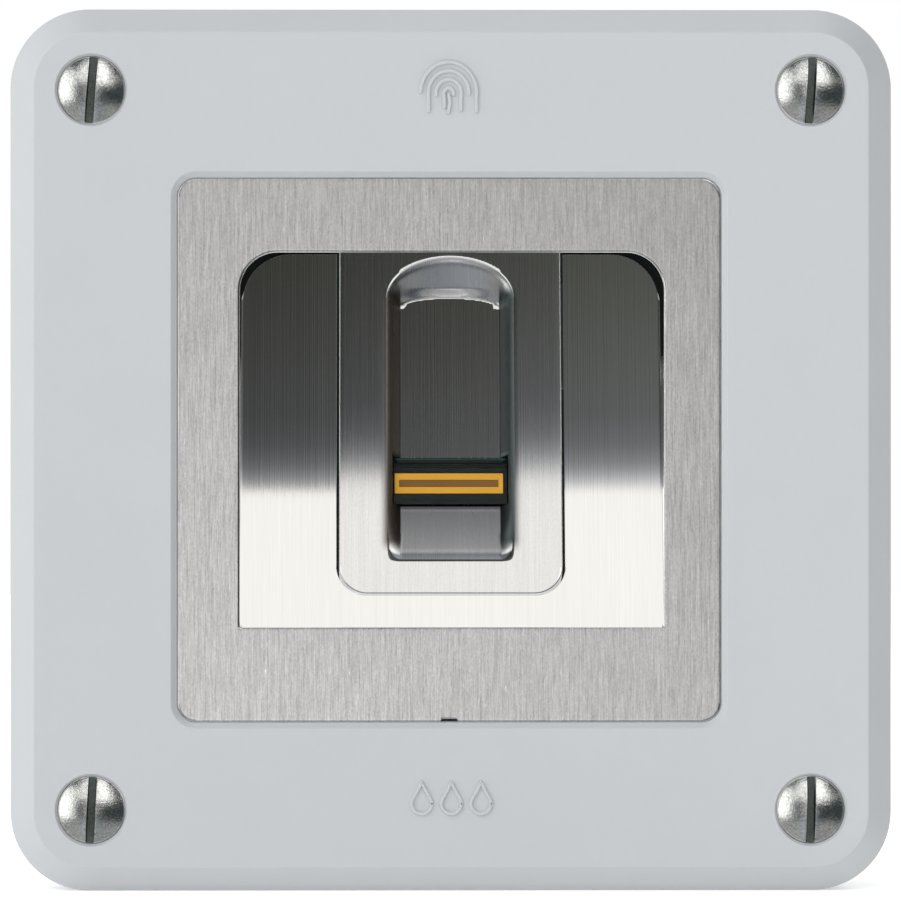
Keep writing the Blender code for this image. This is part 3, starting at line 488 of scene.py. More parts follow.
def gloss_black(name):
    """The sensor's black carrier, with a greenish bead of sealant along its upper edge."""
    nodes = Surface(name)
    ripple = nodes.noise(420, 1400, 1400, detail=4.0, rough=0.6)
    tint = nodes.noise(120, 700, 700)
    body = nodes.blend(tint, nodes.rgb(0.005, 0.007, 0.007), nodes.rgb(0.008, 0.013, 0.010))
    bead_z = OPENING_BOTTOM + (WINDOW_CENTRE + WINDOW_HALF_Z - 0.5 * MM) * math.cos(RAMP_TILT)
    bead = nodes.axes()[2].window(bead_z - 0.25 * MM, bead_z + 0.25 * MM, 0.08 * MM)
    return nodes.finish(
        Base_Color=nodes.blend(bead, body, nodes.rgb(0.016, 0.045, 0.034)),
        Roughness=ripple.swing(0.08) + 0.16,
        Specular_IOR_Level=0.2,
        Normal=nodes.bump(ripple, 0.03 * MM),
    )


# Mesh helpers

SHARP_ANGLE = 35.0


def arc_points(radius, middle, start, end, steps):
    """Points on an arc from angle start to angle end, both included."""
    turns = [start + (end - start) * step / steps for step in range(steps + 1)]
    return [(middle[0] + radius * math.cos(a), middle[1] + radius * math.sin(a)) for a in turns]


def arched(half, top, bottom, high_radius, low_radius, steps=20):
    """An upright outline of (x, z) points, with one radius at its upper corners and another at its lower ones."""
    corners = ((1, top, high_radius), (-1, top, high_radius), (-1, bottom, low_radius), (1, bottom, low_radius))
    points = []
    for quarter, (side, z, radius) in enumerate(corners):
        upward = 1 if quarter < 2 else -1
        turn = quarter * math.pi / 2
        points += arc_points(radius, (side * (half - radius), z - upward * radius), turn, turn + math.pi / 2, steps)
    return points


def rounded(half_x, half_z, radius, centre=(0.0, 0.0), steps=16):
    """A rounded rectangle as (x, z) points, from the middle of its right side round anticlockwise."""
    outline = arched(half_x, half_z, -half_z, radius, radius, steps)
    return [(centre[0] + x, centre[1] + z) for x, z in outline]


def circle(radius, centre=(0.0, 0.0), steps=48):
    return arc_points(radius, centre, 0.0, math.tau, steps)[:-1]


def at_depth(outline, depth, aside=0.0):
    return [Vector((x + aside, depth, z)) for x, z in outline]


def spread(*stretches):
    """Places along a line: each stretch is (start, end, steps), and shared ends appear once."""
    places = [stretches[0][0]]
    for start, end, steps in stretches:
        places += [start + (end - start) * (s + 1) / steps for s in range(steps)]
    return places


def mirrored(line):
    """An open line through (x, y) points, carried on by its mirror image in x."""
    return line + [(-x, y) for x, y in reversed(line)]


def fillet(*corners, steps=4):
    """An open line through (u, v, radius) corners, with each corner rounded by its radius."""
    points = [Vector(corners[0][:2])]
    for before, here, after in zip(corners, corners[1:], corners[2:]):
        corner, radius = Vector(here[:2]), here[2]
        if radius <= 0:
            points.append(corner)
            continue
        back = (Vector(before[:2]) - corner).normalized()
        on = (Vector(after[:2]) - corner).normalized()
        half = back.angle(on) / 2
        middle = corner + (back + on).normalized() * radius / math.sin(half)
        start = corner + back * radius / math.tan(half) - middle
        end = corner + on * radius / math.tan(half) - middle
        sweep = start.angle(end)
        for step in range(steps + 1):
            share = step / steps
            first, second = math.sin((1 - share) * sweep), math.sin(share * sweep)
            points.append(middle + (start * first + end * second) / math.sin(sweep))
    points.append(Vector(corners[-1][:2]))
    return [(point.x, point.y) for point in points]


def shrink(outline, inset):
    """Moves each point of a convex outline inwards by about inset."""
    if inset == 0:
        return outline
    middle = Vector([sum(axis) / len(outline) for axis in zip(*outline)])
    result = []
    for index, point in enumerate(outline):
        before, here = Vector(outline[index - 1]), Vector(point)
        after = Vector(outline[(index + 1) % len(outline)])
        one, two = (here - before).normalized(), (after - here).normalized()
        inward = Vector((-(one.y + two.y), one.x + two.x))
        if inward.length < 1e-9:
            inward = middle - here
        inward.normalize()
        if inward.dot(middle - here) < 0:
            inward.negate()
        stretch = 1 / max(math.sqrt((1 + one.dot(two)) / 2), 0.5)
        result.append(tuple(here + inward * inset * stretch))
    return result


class Shell:
    """A mesh under construction from rings of points, fills between rings and grids."""

    def __init__(self):
        self.mesh = bmesh.new()

    def skin(self, rings, closed=True):
        """Faces between rings of equally many points. closed joins each ring's ends."""
        rows = [[self.mesh.verts.new(point) for point in ring] for ring in rings]
        count = len(rows[0])
        for row, following in zip(rows, rows[1:]):
            for index in range(count if closed else count - 1):
                after = (index + 1) % count
                self.mesh.faces.new((row[index], row[after], following[after], following[index]))

    def cap(self, ring):
        self.mesh.faces.new([self.mesh.verts.new(point) for point in ring])

    def solid(self, rings):
        """A skin through the rings, with both ends capped."""
        self.skin(rings)
        self.cap(rings[0])
        self.cap(list(reversed(rings[-1])))

    def fill(self, *rings):
        """A flat face bounded by the first ring, with the other rings as holes."""
        edges = []
        for ring in rings:
            verts = [self.mesh.verts.new(point) for point in ring]
            edges += [self.mesh.edges.new((verts[i - 1], verts[i])) for i in range(len(verts))]
        bmesh.ops.triangle_fill(self.mesh, use_beauty=True, use_dissolve=False, edges=edges)

    def framed(self, outer, inner, holes_after=(), holes_before=()):
        """A frame: its outer rings run on into its inner ones, which end where the outer ones start."""
        self.skin(outer)
        self.skin(inner)
        self.fill(outer[-1], inner[0], *holes_after)
        self.fill(outer[0], inner[-1], *holes_before)

    def lathe(self, profile, centre, steps=48):
        """A surface turned about the Y axis through centre, an (x, z) place, from (radius, y) points."""
        self.skin([at_depth(circle(radius, centre, steps), depth) for radius, depth in profile])

    def prism(self, outline, front, back, edge):
        """A closed plate with its rims rounded by edge. The outline is (x, z) points."""
        turns = [math.pi / 4 * turn for turn in range(3)]
        rings = [(edge * (1 - math.sin(a)), front + edge * (1 - math.cos(a))) for a in turns]
        rings += [(inset, back + front - depth) for inset, depth in reversed(rings)]
        self.solid([at_depth(shrink(outline, inset), depth) for inset, depth in rings])

    def place(self, matrix):
        bmesh.ops.transform(self.mesh, matrix=matrix, verts=self.mesh.verts)

    def to_object(self, name, weld):
        """Welds the mesh into one object, with its faces turned outwards."""
        bmesh.ops.remove_doubles(self.mesh, verts=self.mesh.verts, dist=weld)
        bmesh.ops.recalc_face_normals(self.mesh, faces=self.mesh.faces)
        data = bpy.data.meshes.new(name)
        self.mesh.to_mesh(data)
        self.mesh.free()
        made = bpy.data.objects.new(name, data)
        bpy.context.scene.collection.objects.link(made)
        return made

    def finish(self, name, finish, node, added=False, sharp=SHARP_ANGLE, weld=0.002 * MM, weight=True):
        """The finished object, riding on the CAD node's body. It stands for that node, unless it is added to it."""
        made = self.to_object(name, weld)
        made.data.materials.append(finish)
        made.data.shade_smooth()
        made.data.set_sharp_from_angle(angle=math.radians(sharp))
        if weight:
            weigh_normals(made)
        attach(made, BODY_OF[node])
        if not added:
            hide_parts(node)
        return made


def weigh_normals(made):
    made.modifiers.new("Flat faces stay flat", "WEIGHTED_NORMAL").keep_sharp = True


def apply_modifiers(made):
    """Applies an object's modifiers, and marks the sharp edges of the result."""
    bpy.context.view_layer.update()
    evaluated = made.evaluated_get(bpy.context.evaluated_depsgraph_get())
    result = bpy.data.meshes.new_from_object(evaluated)
    made.modifiers.clear()
    made.data = result
    result.set_sharp_from_angle(angle=math.radians(SHARP_ANGLE))


def cut(target, shell):
    """Cuts the shell out of target for good. The cut's faces take the target's second material."""
    for face in shell.mesh.faces:
        face.material_index = 1
    cutter = shell.to_object("cutter", 1e-7)
    modifier = target.modifiers.new("Cut", "BOOLEAN")
    modifier.object = cutter
    modifier.solver = "EXACT"
    apply_modifiers(target)
    bpy.data.objects.remove(cutter)


def round_edges(target, width, angle):
    modifier = target.modifiers.new("Round edges", "BEVEL")
    modifier.width = width
    modifier.segments = 2
    modifier.limit_method = "ANGLE"
    modifier.angle_limit = math.radians(angle)
    modifier.harden_normals = False
    return modifier


def round_for_good(target, width, angle):
    round_edges(target, width, angle).use_clamp_overlap = False
    apply_modifiers(target)
    weigh_normals(target)


# Cover frame and seals


def family(half, radius, inset, depth, aside=0.0):
    """A ring of a nested family of rounded squares, inset from the outermost one."""
    return at_depth(rounded(half - inset, half - inset, radius - inset, steps=24), depth, aside)


def cover_frame(finish):
    inner_top = COVER_FRONT + COVER_WALL
    outer = fillet(
        (COVER_WALL + 0.8 * MM, inner_top, 0),
        (COVER_WALL, inner_top, 0.75 * MM),
        (COVER_WALL, COVER_BACK, 0.25 * MM),
        (0.0, COVER_BACK, 0.35 * MM),
        (0.0, COVER_FRONT + COVER_CHAMFER, 0.55 * MM),
        (COVER_CHAMFER, COVER_FRONT, 0.30 * MM),
        (COVER_CHAMFER + 0.5 * MM, COVER_FRONT, 0),
        steps=5,
    )
    inner = fillet(
        (WINDOW_CHAMFER + 0.4 * MM, COVER_FRONT, 0),
        (WINDOW_CHAMFER, COVER_FRONT, 0.16 * MM),
        (0.0, COVER_FRONT + WINDOW_CHAMFER, 0.2 * MM),
        (0.0, RIB_BACK, 0.2 * MM),
        (RIB_WIDTH, RIB_BACK, 0.2 * MM),
        (RIB_WIDTH, inner_top, 0.4 * MM),
        (RIB_WIDTH + 0.5 * MM, inner_top, 0),
    )
    bore = fillet(
        (COUNTERSINK_RADIUS, COVER_FRONT, 0),
        (COUNTERSINK_RADIUS - 0.10 * MM, COVER_FRONT, 0.05 * MM),
        (COUNTERBORE_RADIUS, COVER_FRONT + 0.45 * MM, 0.10 * MM),
        (COUNTERBORE_RADIUS, COUNTERBORE_FLOOR, 0.25 * MM),
        (COVER_HOLE_RADIUS, COUNTERBORE_FLOOR, 0.15 * MM),
        (COVER_HOLE_RADIUS, BOSS_BACK, 0.15 * MM),
        (BOSS_RADIUS, BOSS_BACK, 0.25 * MM),
        (BOSS_RADIUS, inner_top, 0.3 * MM),
        (BOSS_RADIUS + 0.32 * MM, inner_top, 0),
    )
    shell = Shell()
    places = [(place.x, place.z) for place in SCREW_PLACES.values()]
    for place in places:
        shell.lathe(bore, place, 96)
    fronts, backs = ([at_depth(circle(end[0], place, 96), end[1]) for place in places] for end in (bore[0], bore[-1]))
    shell.framed(
        [family(COVER_HALF, COVER_RADIUS, inset, depth) for inset, depth in outer],
        [family(WINDOW_HALF, WINDOW_RADIUS, -inset, depth, PLATE_SHIFT) for inset, depth in inner],
        fronts,
        backs,
    )
    shell.finish("cover_frame_moulding", finish, "cover_frame").visible_glossy = False


def relief_line(shell, points, width):
    """A raised line with rounded flanks and round ends on the cover's face, along (x, z) points."""
    flank = 0.06 * MM
    section = fillet(
        (-width / 2 - 0.05 * MM, 0.0, 0),
        (-width / 2, 0.0, 0.0),
        (-width / 2 + flank, RELIEF_HEIGHT, 0.08 * MM),
        (width / 2 - flank, RELIEF_HEIGHT, 0.08 * MM),
        (width / 2, 0.0, 0.0),
        (width / 2 + 0.05 * MM, 0.0, 0),
        steps=3,
    )[1:-1]
    last = len(points) - 1

    def heading(index):
        along = (Vector(points[min(index + 1, last)]) - Vector(points[max(index - 1, 0)])).normalized()
        return along, Vector((-along.y, along.x))

    def raised(point, offset, height):
        return Vector((point[0] + offset.x, RELIEF_FRONT - height, point[1] + offset.y))

    sides = [heading(index)[1] for index in range(len(points))]
    shell.skin([[raised(point, side * u, v) for u, v in section] for point, side in zip(points, sides)], closed=False)
    for end, sign in ((0, -1), (last, 1)):
        along, side = (direction * sign for direction in heading(end))
        fan = []
        for u, v in section[: len(section) // 2 + 1]:
            turns = [math.pi / 2 - math.pi * step / 8 for step in range(9)]
            arc = [raised(points[end], (side * math.sin(a) + along * math.cos(a)) * abs(u), v) for a in turns]
            fan.append(arc)
        shell.skin(fan, closed=False)
        shell.cap(fan[-1])


def fingerprint_mark(finish):
    """A generic fingerprint: nested arches and a short stem, raised on the cover above the window."""
    shell = Shell()
    centre_x, centre_z = -0.3 * MM, 39.6 * MM
    for ridge in range(4):
        radius = (0.55 + 0.86 * ridge) * MM
        drop = (1.4 + 0.25 * ridge) * MM
        reach = math.radians(200 - 9 * ridge)
        turns = [math.pi / 2 + reach * (0.5 - s / 28) for s in range(29)]
        arch = [(centre_x + radius * math.cos(a), centre_z + 1.12 * radius * math.sin(a)) for a in turns]
        if ridge % 2 == 0:
            arch = [(arch[0][0] + 0.05 * MM, arch[0][1] - drop * (1 - s / 4)) for s in range(4)] + arch
        else:
            arch += [(arch[-1][0] - 0.05 * MM, arch[-1][1] - drop * (s + 1) / 4) for s in range(4)]
        relief_line(shell, arch, RIDGE_WIDTH)
    stem = [(centre_x + 0.12 * MM * math.sin(s / 2), centre_z - (0.15 + 0.28 * s) * MM) for s in range(8)]
    relief_line(shell, stem, RIDGE_WIDTH)
    shell.finish("emboss_fingerprint", finish, "cover_frame", added=True, weight=False)


def drops_mark(finish):
    """Three plain water drops for the splash-proof seal, raised on the cover below the window."""
    shell = Shell()
    size = 1.12 * MM
    for centre_x in (-3.3 * MM, 0.0, 3.3 * MM):
        outline = []
        for step in range(48):
            angle = math.tau * step / 48
            pull = max(math.sin(angle), 0.0) ** 3
            x = centre_x + size * math.cos(angle) * (1 - 0.75 * pull)
            outline.append((x, -39.3 * MM + size * (math.sin(angle) + 1.1 * pull)))
        relief_line(shell, outline + outline[:1], DROP_LINE_WIDTH)
    shell.finish("emboss_drops", finish, "cover_frame", added=True, weight=False)


def seals(finish):
    low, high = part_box("wall_gasket")
    width, lip = 3.2 * MM, high.y - 0.3 * MM
    section = fillet(
        (width / 2, low.y, 0),
        (0.0, low.y, 0.25 * MM),
        (0.0, high.y, 0.25 * MM),
        (0.9 * MM, high.y, 0.1 * MM),
        (1.2 * MM, lip, 0.1 * MM),
        (2.0 * MM, lip, 0.1 * MM),
        (2.3 * MM, high.y, 0.1 * MM),
        (width, high.y, 0.25 * MM),
        (width, low.y, 0.25 * MM),
        (width / 2, low.y, 0),
        steps=3,
    )
    shell = Shell()
    shell.skin([family(high.x, 8.4 * MM, inset, depth) for inset, depth in section])
    shell.finish("wall_gasket_lip", finish, "wall_gasket")

    low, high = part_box("window_seal")
    section = fillet(
        (RIB_WIDTH / 2, low.y, 0),
        (0.0, low.y, 0.2 * MM),
        (0.0, high.y, 0.45 * MM),
        (RIB_WIDTH, high.y, 0.45 * MM),
        (RIB_WIDTH, low.y, 0.2 * MM),
        (RIB_WIDTH / 2, low.y, 0),
    )
    shell = Shell()
    shell.skin([family(high.x, 4.2 * MM, inset, depth) for inset, depth in section])
    shell.finish("window_seal_bead", finish, "window_seal")

    for corner, place in SCREW_PLACES.items():
        low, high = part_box("screw_seal_" + corner)
        outer, inner = (high.x - low.x) / 2, 2.3 * MM
        edge = (high.y - low.y) * 0.4
        section = fillet(
            ((outer + inner) / 2, low.y, 0),
            (inner, low.y, edge),
            (inner, high.y, edge),
            (outer, high.y, edge),
            (outer, low.y, edge),
            ((outer + inner) / 2, low.y, 0),
        )
        shell = Shell()
        shell.lathe(section, (place.x, place.z))
        shell.finish("screw_washer_" + corner, finish, "screw_seal_" + corner)


# Screws


def threaded(start, end, steps=48, rows_per_turn=8, run_in_rows=6):
    """Rings of a shank about its own Y axis, its radius following a thread from start to end."""
    rings = []
    rows = int(abs(end - start) / THREAD_PITCH * rows_per_turn)
    for row in range(rows + 1):
        y = start + (end - start) * row / rows
        depth = THREAD_DEPTH * min(1.0, row / run_in_rows, (rows - row) / run_in_rows)
        ring = []
        for step in range(steps):
            crest = abs((y / THREAD_PITCH + step / steps) % 1.0 - 0.5) * 2
            radius, angle = SHANK_RADIUS - depth * (1 - crest), math.tau * step / steps
            ring.append(Vector((radius * math.cos(angle), y, radius * math.sin(angle))))
        rings.append(ring)
    return rings


def turned_rings(profile):
    return [at_depth(circle(radius), depth) for radius, depth in profile]


def slot_cutter(front, depth, lean):
    """A bar across a screw head with a chamfered bottom, leaning about the screw's own axis."""
    shell = Shell()
    half, reach, chamfer = SLOT_WIDTH / 2, 5 * MM, 0.1 * MM
    section = mirrored([(-half, front - 1 * MM), (-half, front + depth - chamfer), (-half + chamfer, front + depth)])
    shell.solid([[Vector((x, y, z)) for x, y in section] for z in (-reach, reach)])
    shell.place(Matrix.Rotation(lean, 4, "Y"))
    return shell


def cover_screw(corner, finish, slot_finish, lean_degrees):
    """Built about its own axis and moved to its place at the end. The dome is part of a sphere."""
    dome_radius, dome_foot = SCREW_HEAD_RADIUS - 0.07 * MM, SCREW_EDGE - 0.06 * MM
    height = dome_foot - SCREW_TOP
    sphere = (dome_radius**2 + height**2) / (2 * height)
    turns = [math.asin(dome_radius / sphere) * (1 - step / 28) for step in range(28)]
    dome = [(sphere * math.sin(a), SCREW_TOP + sphere * (1 - math.cos(a))) for a in turns]
    dome.append((0.02 * MM, SCREW_TOP))
    shoulder = fillet(
        (SHANK_RADIUS, SCREW_HEAD_BACK, 0),
        (SCREW_HEAD_RADIUS, SCREW_HEAD_BACK, 0.12 * MM),
        (SCREW_HEAD_RADIUS, SCREW_EDGE, 0.05 * MM),
        (SCREW_HEAD_RADIUS - 0.06 * MM, SCREW_EDGE + 0.01 * MM, 0.0),
        (*dome[0], 0),
    )
    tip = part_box("cover_screw_" + corner)[1].y
    rings = turned_rings([(0.3 * MM, tip), (1.45 * MM, tip), (1.62 * MM, tip - 0.25 * MM)])
    rings += threaded(tip - 0.3 * MM, SCREW_HEAD_BACK + 0.7 * MM)
    rings += turned_rings([(SHANK_RADIUS, SCREW_HEAD_BACK + 0.1 * MM)] + shoulder[:-1] + dome)
    shell = Shell()
    shell.solid(rings)
    made = shell.finish("screw_" + corner, finish, "cover_screw_" + corner, weld=0.0005 * MM, weight=False)
    made.data.materials.append(slot_finish)
    cut(made, slot_cutter(SCREW_TOP, SCREW_EDGE - SCREW_TOP + 0.07 * MM, math.radians(lean_degrees)))
    round_for_good(made, 0.025 * MM, 40.0)
    place = SCREW_PLACES[corner]
    made.data.transform(Matrix.Translation((place.x, 0.0, place.z)))


# Faceplate and ramp


def plate_outline(inset):
    """The plate's edge, with a shallow pry notch in the middle of its lower side."""
    half, steps = FACE_HALF + FACE_GROWTH - inset, 20
    points = rounded(half, half, FACE_RADIUS - inset, steps=steps)
    notch_half, notch_depth, ease = 0.9 * MM, 0.3 * MM, 0.12 * MM
    left = [(-notch_half - ease, -half), (-notch_half, ease - half), (-notch_half + ease, notch_depth - half)]
    lower_right = 3 * (steps + 1)
    return points[:lower_right] + mirrored(left) + points[lower_right:]


def opening_outline(grow):
    """The opening: round at its upper corners and nearly square at its lower ones, grown outwards by grow."""
    half, top, bottom = OPENING_HALF + grow, OPENING_TOP + grow, OPENING_BOTTOM - grow
    return arched(half, top, bottom, OPENING_RADIUS + grow, 0.25 * MM + grow)


def faceplate(finish):
    rollover = 0.24 * MM
    hole = fillet(
        (rollover + 0.1 * MM, FACE_FRONT, 0),
        (0.0, FACE_FRONT, rollover),
        (0.0, FACE_BACK, 0.12 * MM),
        (0.4 * MM, FACE_BACK, 0),
        steps=6,
    )
    edge = fillet(
        (0.4 * MM, FACE_BACK, 0),
        (0.0, FACE_BACK, 0.1 * MM),
        (0.0, FACE_FRONT, 0.14 * MM),
        (0.4 * MM, FACE_FRONT, 0),
    )
    shell = Shell()
    shell.framed(
        [at_depth(plate_outline(inset), depth, PLATE_SHIFT) for inset, depth in edge],
        [at_depth(opening_outline(grow), depth, OPENING_SHIFT) for grow, depth in hole],
    )
    shell.finish("faceplate_brushed", finish, "faceplate").visible_glossy = False


def tray_section(z, bend_steps=8):
    """The tray's cut at height z: up one wall, round its bend, across the floor, and back round the outside.
    A point next to each bend keeps the floor's shading flat."""
    rise = min(max(z - TRAY_CORNER_START, 0.0), TRAY_CORNER_RADIUS)
    half = TRAY_HALF - TRAY_CORNER_RADIUS + math.sqrt(TRAY_CORNER_RADIUS**2 - rise**2)
    floor = RAMP_FOOT + (z - OPENING_BOTTOM) * math.tan(RAMP_TILT)
    rim = FACE_BACK + GAP + (TRAY_RIM_DROP if z > TRAY_RIM_STEP_Z else 0.0)
    bend = min(TRAY_BEND, floor - rim - 0.1 * MM)
    wide = bend + TRAY_SHEET
    inside, outside = [(-half, rim)], [(-half - TRAY_SHEET, rim)]
    for step in range(bend_steps + 1):
        angle = math.pi / 2 * step / bend_steps
        across, down = math.cos(angle), math.sin(angle)
        inside.append((-half + bend - bend * across, floor - bend + bend * down))
        outside.append((-half + bend - wide * across, floor - bend + wide * down))
    inside.append((-half + bend + 0.10 * MM, floor))
    return [Vector((x, y, z)) for x, y in mirrored(inside) + list(reversed(mirrored(outside)))]


def ramp_tray(finish):
    step_low, step_high = TRAY_RIM_STEP_Z - 0.02 * MM, TRAY_RIM_STEP_Z + 0.02 * MM
    foot_top = -14.0 * MM
    heights = spread((TRAY_BOTTOM, foot_top, 6), (foot_top, step_low, 2), (step_low, step_high, 1))
    heights.append(TRAY_CORNER_START)
    heights += [TRAY_CORNER_START + TRAY_CORNER_RADIUS * math.sin(math.pi / 2 * s / 26) for s in range(1, 27)]
    heights.append(TRAY_TOP)
    shell = Shell()
    shell.solid([tray_section(z) for z in heights])
    shell.place(Matrix.Translation((OPENING_SHIFT, 0.0, 0.0)))
    made = shell.finish("ramp_tray_sheet", finish, "ramp_tray", weight=False)
    slot = Shell()
    half, bottom, radius, beyond_tray = GUIDE_HALF + GAP, GUIDE_START - GAP, GUIDE_CORNER + GAP, 60 * MM
    outline = [(half, beyond_tray), (-half, beyond_tray)]
    outline += arc_points(radius, (-half + radius, bottom + radius), math.pi, 1.5 * math.pi, 24)
    outline += arc_points(radius, (half - radius, bottom + radius), 1.5 * math.pi, math.tau, 24)
    slot.solid([at_depth(outline, depth) for depth in (-4 * MM, 4 * MM)])
    slot.place(RAMP)
    cut(made, slot)
    round_for_good(made, 0.05 * MM, 50.0)
    made.visible_glossy = False


# Finger guide


def groove_share(x, up):
    """0 on the groove's floor, 1 at its rim and beyond, and in between on the wall."""
    if up <= GROOVE_END_CENTRE:
        share = (abs(x) - GROOVE_FLOOR_HALF) / (GROOVE_RIM_HALF - GROOVE_FLOOR_HALF)
        return min(max(share, 0.0), 1.0)
    low, high = 0.0, 1.0
    for _ in range(24):  # halves the range until the ellipse through this place is found
        share = (low + high) / 2
        half = GROOVE_FLOOR_HALF + share * (GROOVE_RIM_HALF - GROOVE_FLOOR_HALF)
        reach = GROOVE_END_FLOOR + share * (GROOVE_END_RIM - GROOVE_END_FLOOR)
        if (x / half) ** 2 + ((up - GROOVE_END_CENTRE) / reach) ** 2 > 1:
            low = share
        else:
            high = share
    return high


def groove_depth(x, up):
    share = groove_share(x, up)
    end = min(max((up - GROOVE_END_CENTRE) / (2 * MM), 0.0), 1.0)
    side_wall = 1 - math.sin(math.pi / 2 * share)
    end_wall = (1 + math.cos(math.pi * share)) / 2
    wall = side_wall * (1 - end) + end_wall * end
    run, full = up - GROOVE_START, GROOVE_FULL - GROOVE_START
    if run < -GROOVE_EASE:
        rise = 0.0
    elif run < GROOVE_EASE:
        rise = (run + GROOVE_EASE) ** 2 / (4 * GROOVE_EASE) / full
    else:
        rise = min(run / full, 1.0)
    lean = FLOOR_LEAN * max(up - GROOVE_FULL, 0.0)
    return (GROOVE_DEPTH + lean) * rise * wall


def finger_guide(finish):
    """The guide: a height field over its outline, with the sensor's window left out and given walls.
    Columns beyond the straight ones draw together where the outline rounds its lower corners."""
    right = spread(
        (0.0, GROOVE_FLOOR_HALF, 14),
        (GROOVE_FLOOR_HALF, WINDOW_HALF_X, 9),
        (WINDOW_HALF_X, GROOVE_RIM_HALF, 10),
        (GROOVE_RIM_HALF, GUIDE_HALF - 0.3 * MM, 12),
    )
    columns = [-x for x in reversed(right[1:])] + right
    straight = 9.0 * MM
    window_low, window_high = WINDOW_CENTRE - WINDOW_HALF_Z, WINDOW_CENTRE + WINDOW_HALF_Z
    rows = [GUIDE_START + GUIDE_CORNER * (1 - math.cos(math.pi / 2 * s / 10)) for s in range(11)]
    rows += spread(
        (rows[-1], GROOVE_START - GROOVE_EASE, 3),
        (GROOVE_START - GROOVE_EASE, GROOVE_START + GROOVE_EASE, 16),
        (GROOVE_START + GROOVE_EASE, GROOVE_FULL - 0.06 * MM, 14),
        (GROOVE_FULL - 0.06 * MM, window_low, 1),
        (window_low, window_high, 8),
        (window_high, GROOVE_END_CENTRE, 40),
        (GROOVE_END_CENTRE, GROOVE_END_CENTRE + GROOVE_END_RIM, 44),
        (GROOVE_END_CENTRE + GROOVE_END_RIM, GUIDE_END, 4),
    )[1:]
    shell = Shell()
    grid = []
    for up in rows:
        below = max(GUIDE_CORNER - (up - GUIDE_START), 0.0)
        half = GUIDE_HALF - GUIDE_CORNER + math.sqrt(max(GUIDE_CORNER**2 - below**2, 0.0)) - GUIDE_RIM
        line = []
        for x in columns:
            if abs(x) > straight:
                drawn = (abs(x) - straight) * (half - straight) / (columns[-1] - straight)
                x = math.copysign(straight + drawn, x)
            line.append(shell.mesh.verts.new((x, groove_depth(x, up), up)))
        grid.append(line)

    def in_window(x, up):
        return abs(x) < WINDOW_HALF_X + 1e-6 and window_low - 1e-6 < up < window_high + 1e-6

    for i in range(len(rows) - 1):
        for j in range(len(columns) - 1):
            if not (in_window(columns[j], rows[i]) and in_window(columns[j + 1], rows[i + 1])):
                shell.mesh.faces.new((grid[i][j], grid[i][j + 1], grid[i + 1][j + 1], grid[i + 1][j]))
    inner, outer = [], []
    for edge in shell.mesh.edges:
        if edge.is_boundary:
            inside = all(in_window(vert.co.x, vert.co.z) for vert in edge.verts)
            (inner if inside else outer).append(edge)
    extrude_chain(shell, outer, rounded_wall())
    extrude_chain(shell, inner, (burr_crest, burr_lip, window_back))
    shell.place(RAMP @ Matrix.Rotation(GUIDE_LEAN, 4, "X"))
    shell.finish("finger_guide_drawn", finish, "finger_guide", sharp=38.0, weight=False, weld=0.0005 * MM)


def extrude_chain(shell, edges, moves):
    """Extrudes a chain of boundary edges in the XZ plane through functions that give each vertex's next place,
    from its first place and the direction away from the faces beside it."""
    sides = {}
    for edge in edges:
        a, b = edge.verts
        along = b.co - a.co
        side = Vector((along.z, 0.0, -along.x)).normalized()
        if side.dot(edge.link_faces[0].calc_center_median() - (a.co + b.co) / 2) > 0:
            side.negate()
        for vert in edge.verts:
            sides[vert] = sides.get(vert, Vector()) + side
    sides = {vert: side.normalized() for vert, side in sides.items()}
    pairs = [edge.verts[:] for edge in edges]
    current = {vert: vert for vert in sides}
    for move in moves:
        following = {vert: shell.mesh.verts.new(move(vert.co, sides[vert])) for vert in sides}
        for a, b in pairs:
            shell.mesh.faces.new((current[a], current[b], following[b], following[a]))
        current = following


def guide_back(co, side, out=0.0):
    return Vector((co.x, GUIDE_THICKNESS, co.z)) + side * out


def rounded_wall(steps=4):
    """Moves that round the surface over its outer edge, drop a wall to the back and turn in on the back."""

    def over_edge(angle):
        drop = Vector((0.0, GUIDE_RIM * (1 - math.cos(angle)), 0.0))
        return lambda co, side: co + side * GUIDE_RIM * math.sin(angle) + drop

    moves = [over_edge(math.pi / 2 * step / steps) for step in range(1, steps + 1)]
    return moves + [lambda co, side: guide_back(co, side, GUIDE_RIM), guide_back]


def uneven(co, size):
    return size * noise.noise(Vector((co.x * 1300, co.z * 1300, 3.0)))


def burr_crest(co, side):
    """The punched window has a fine uneven burr along its edge."""
    out = 0.02 * MM + uneven(co, 0.015 * MM)
    return co + side * out + Vector((0.0, 0.02 * MM + uneven(co, 0.012 * MM), 0.0))


def burr_lip(co, side):
    out = 0.045 * MM + uneven(co, 0.015 * MM)
    return co + side * out + Vector((0.0, 0.10 * MM, 0.0))


def window_back(co, side):
    return guide_back(co, side, 0.14 * MM)


# Bezel and sensor


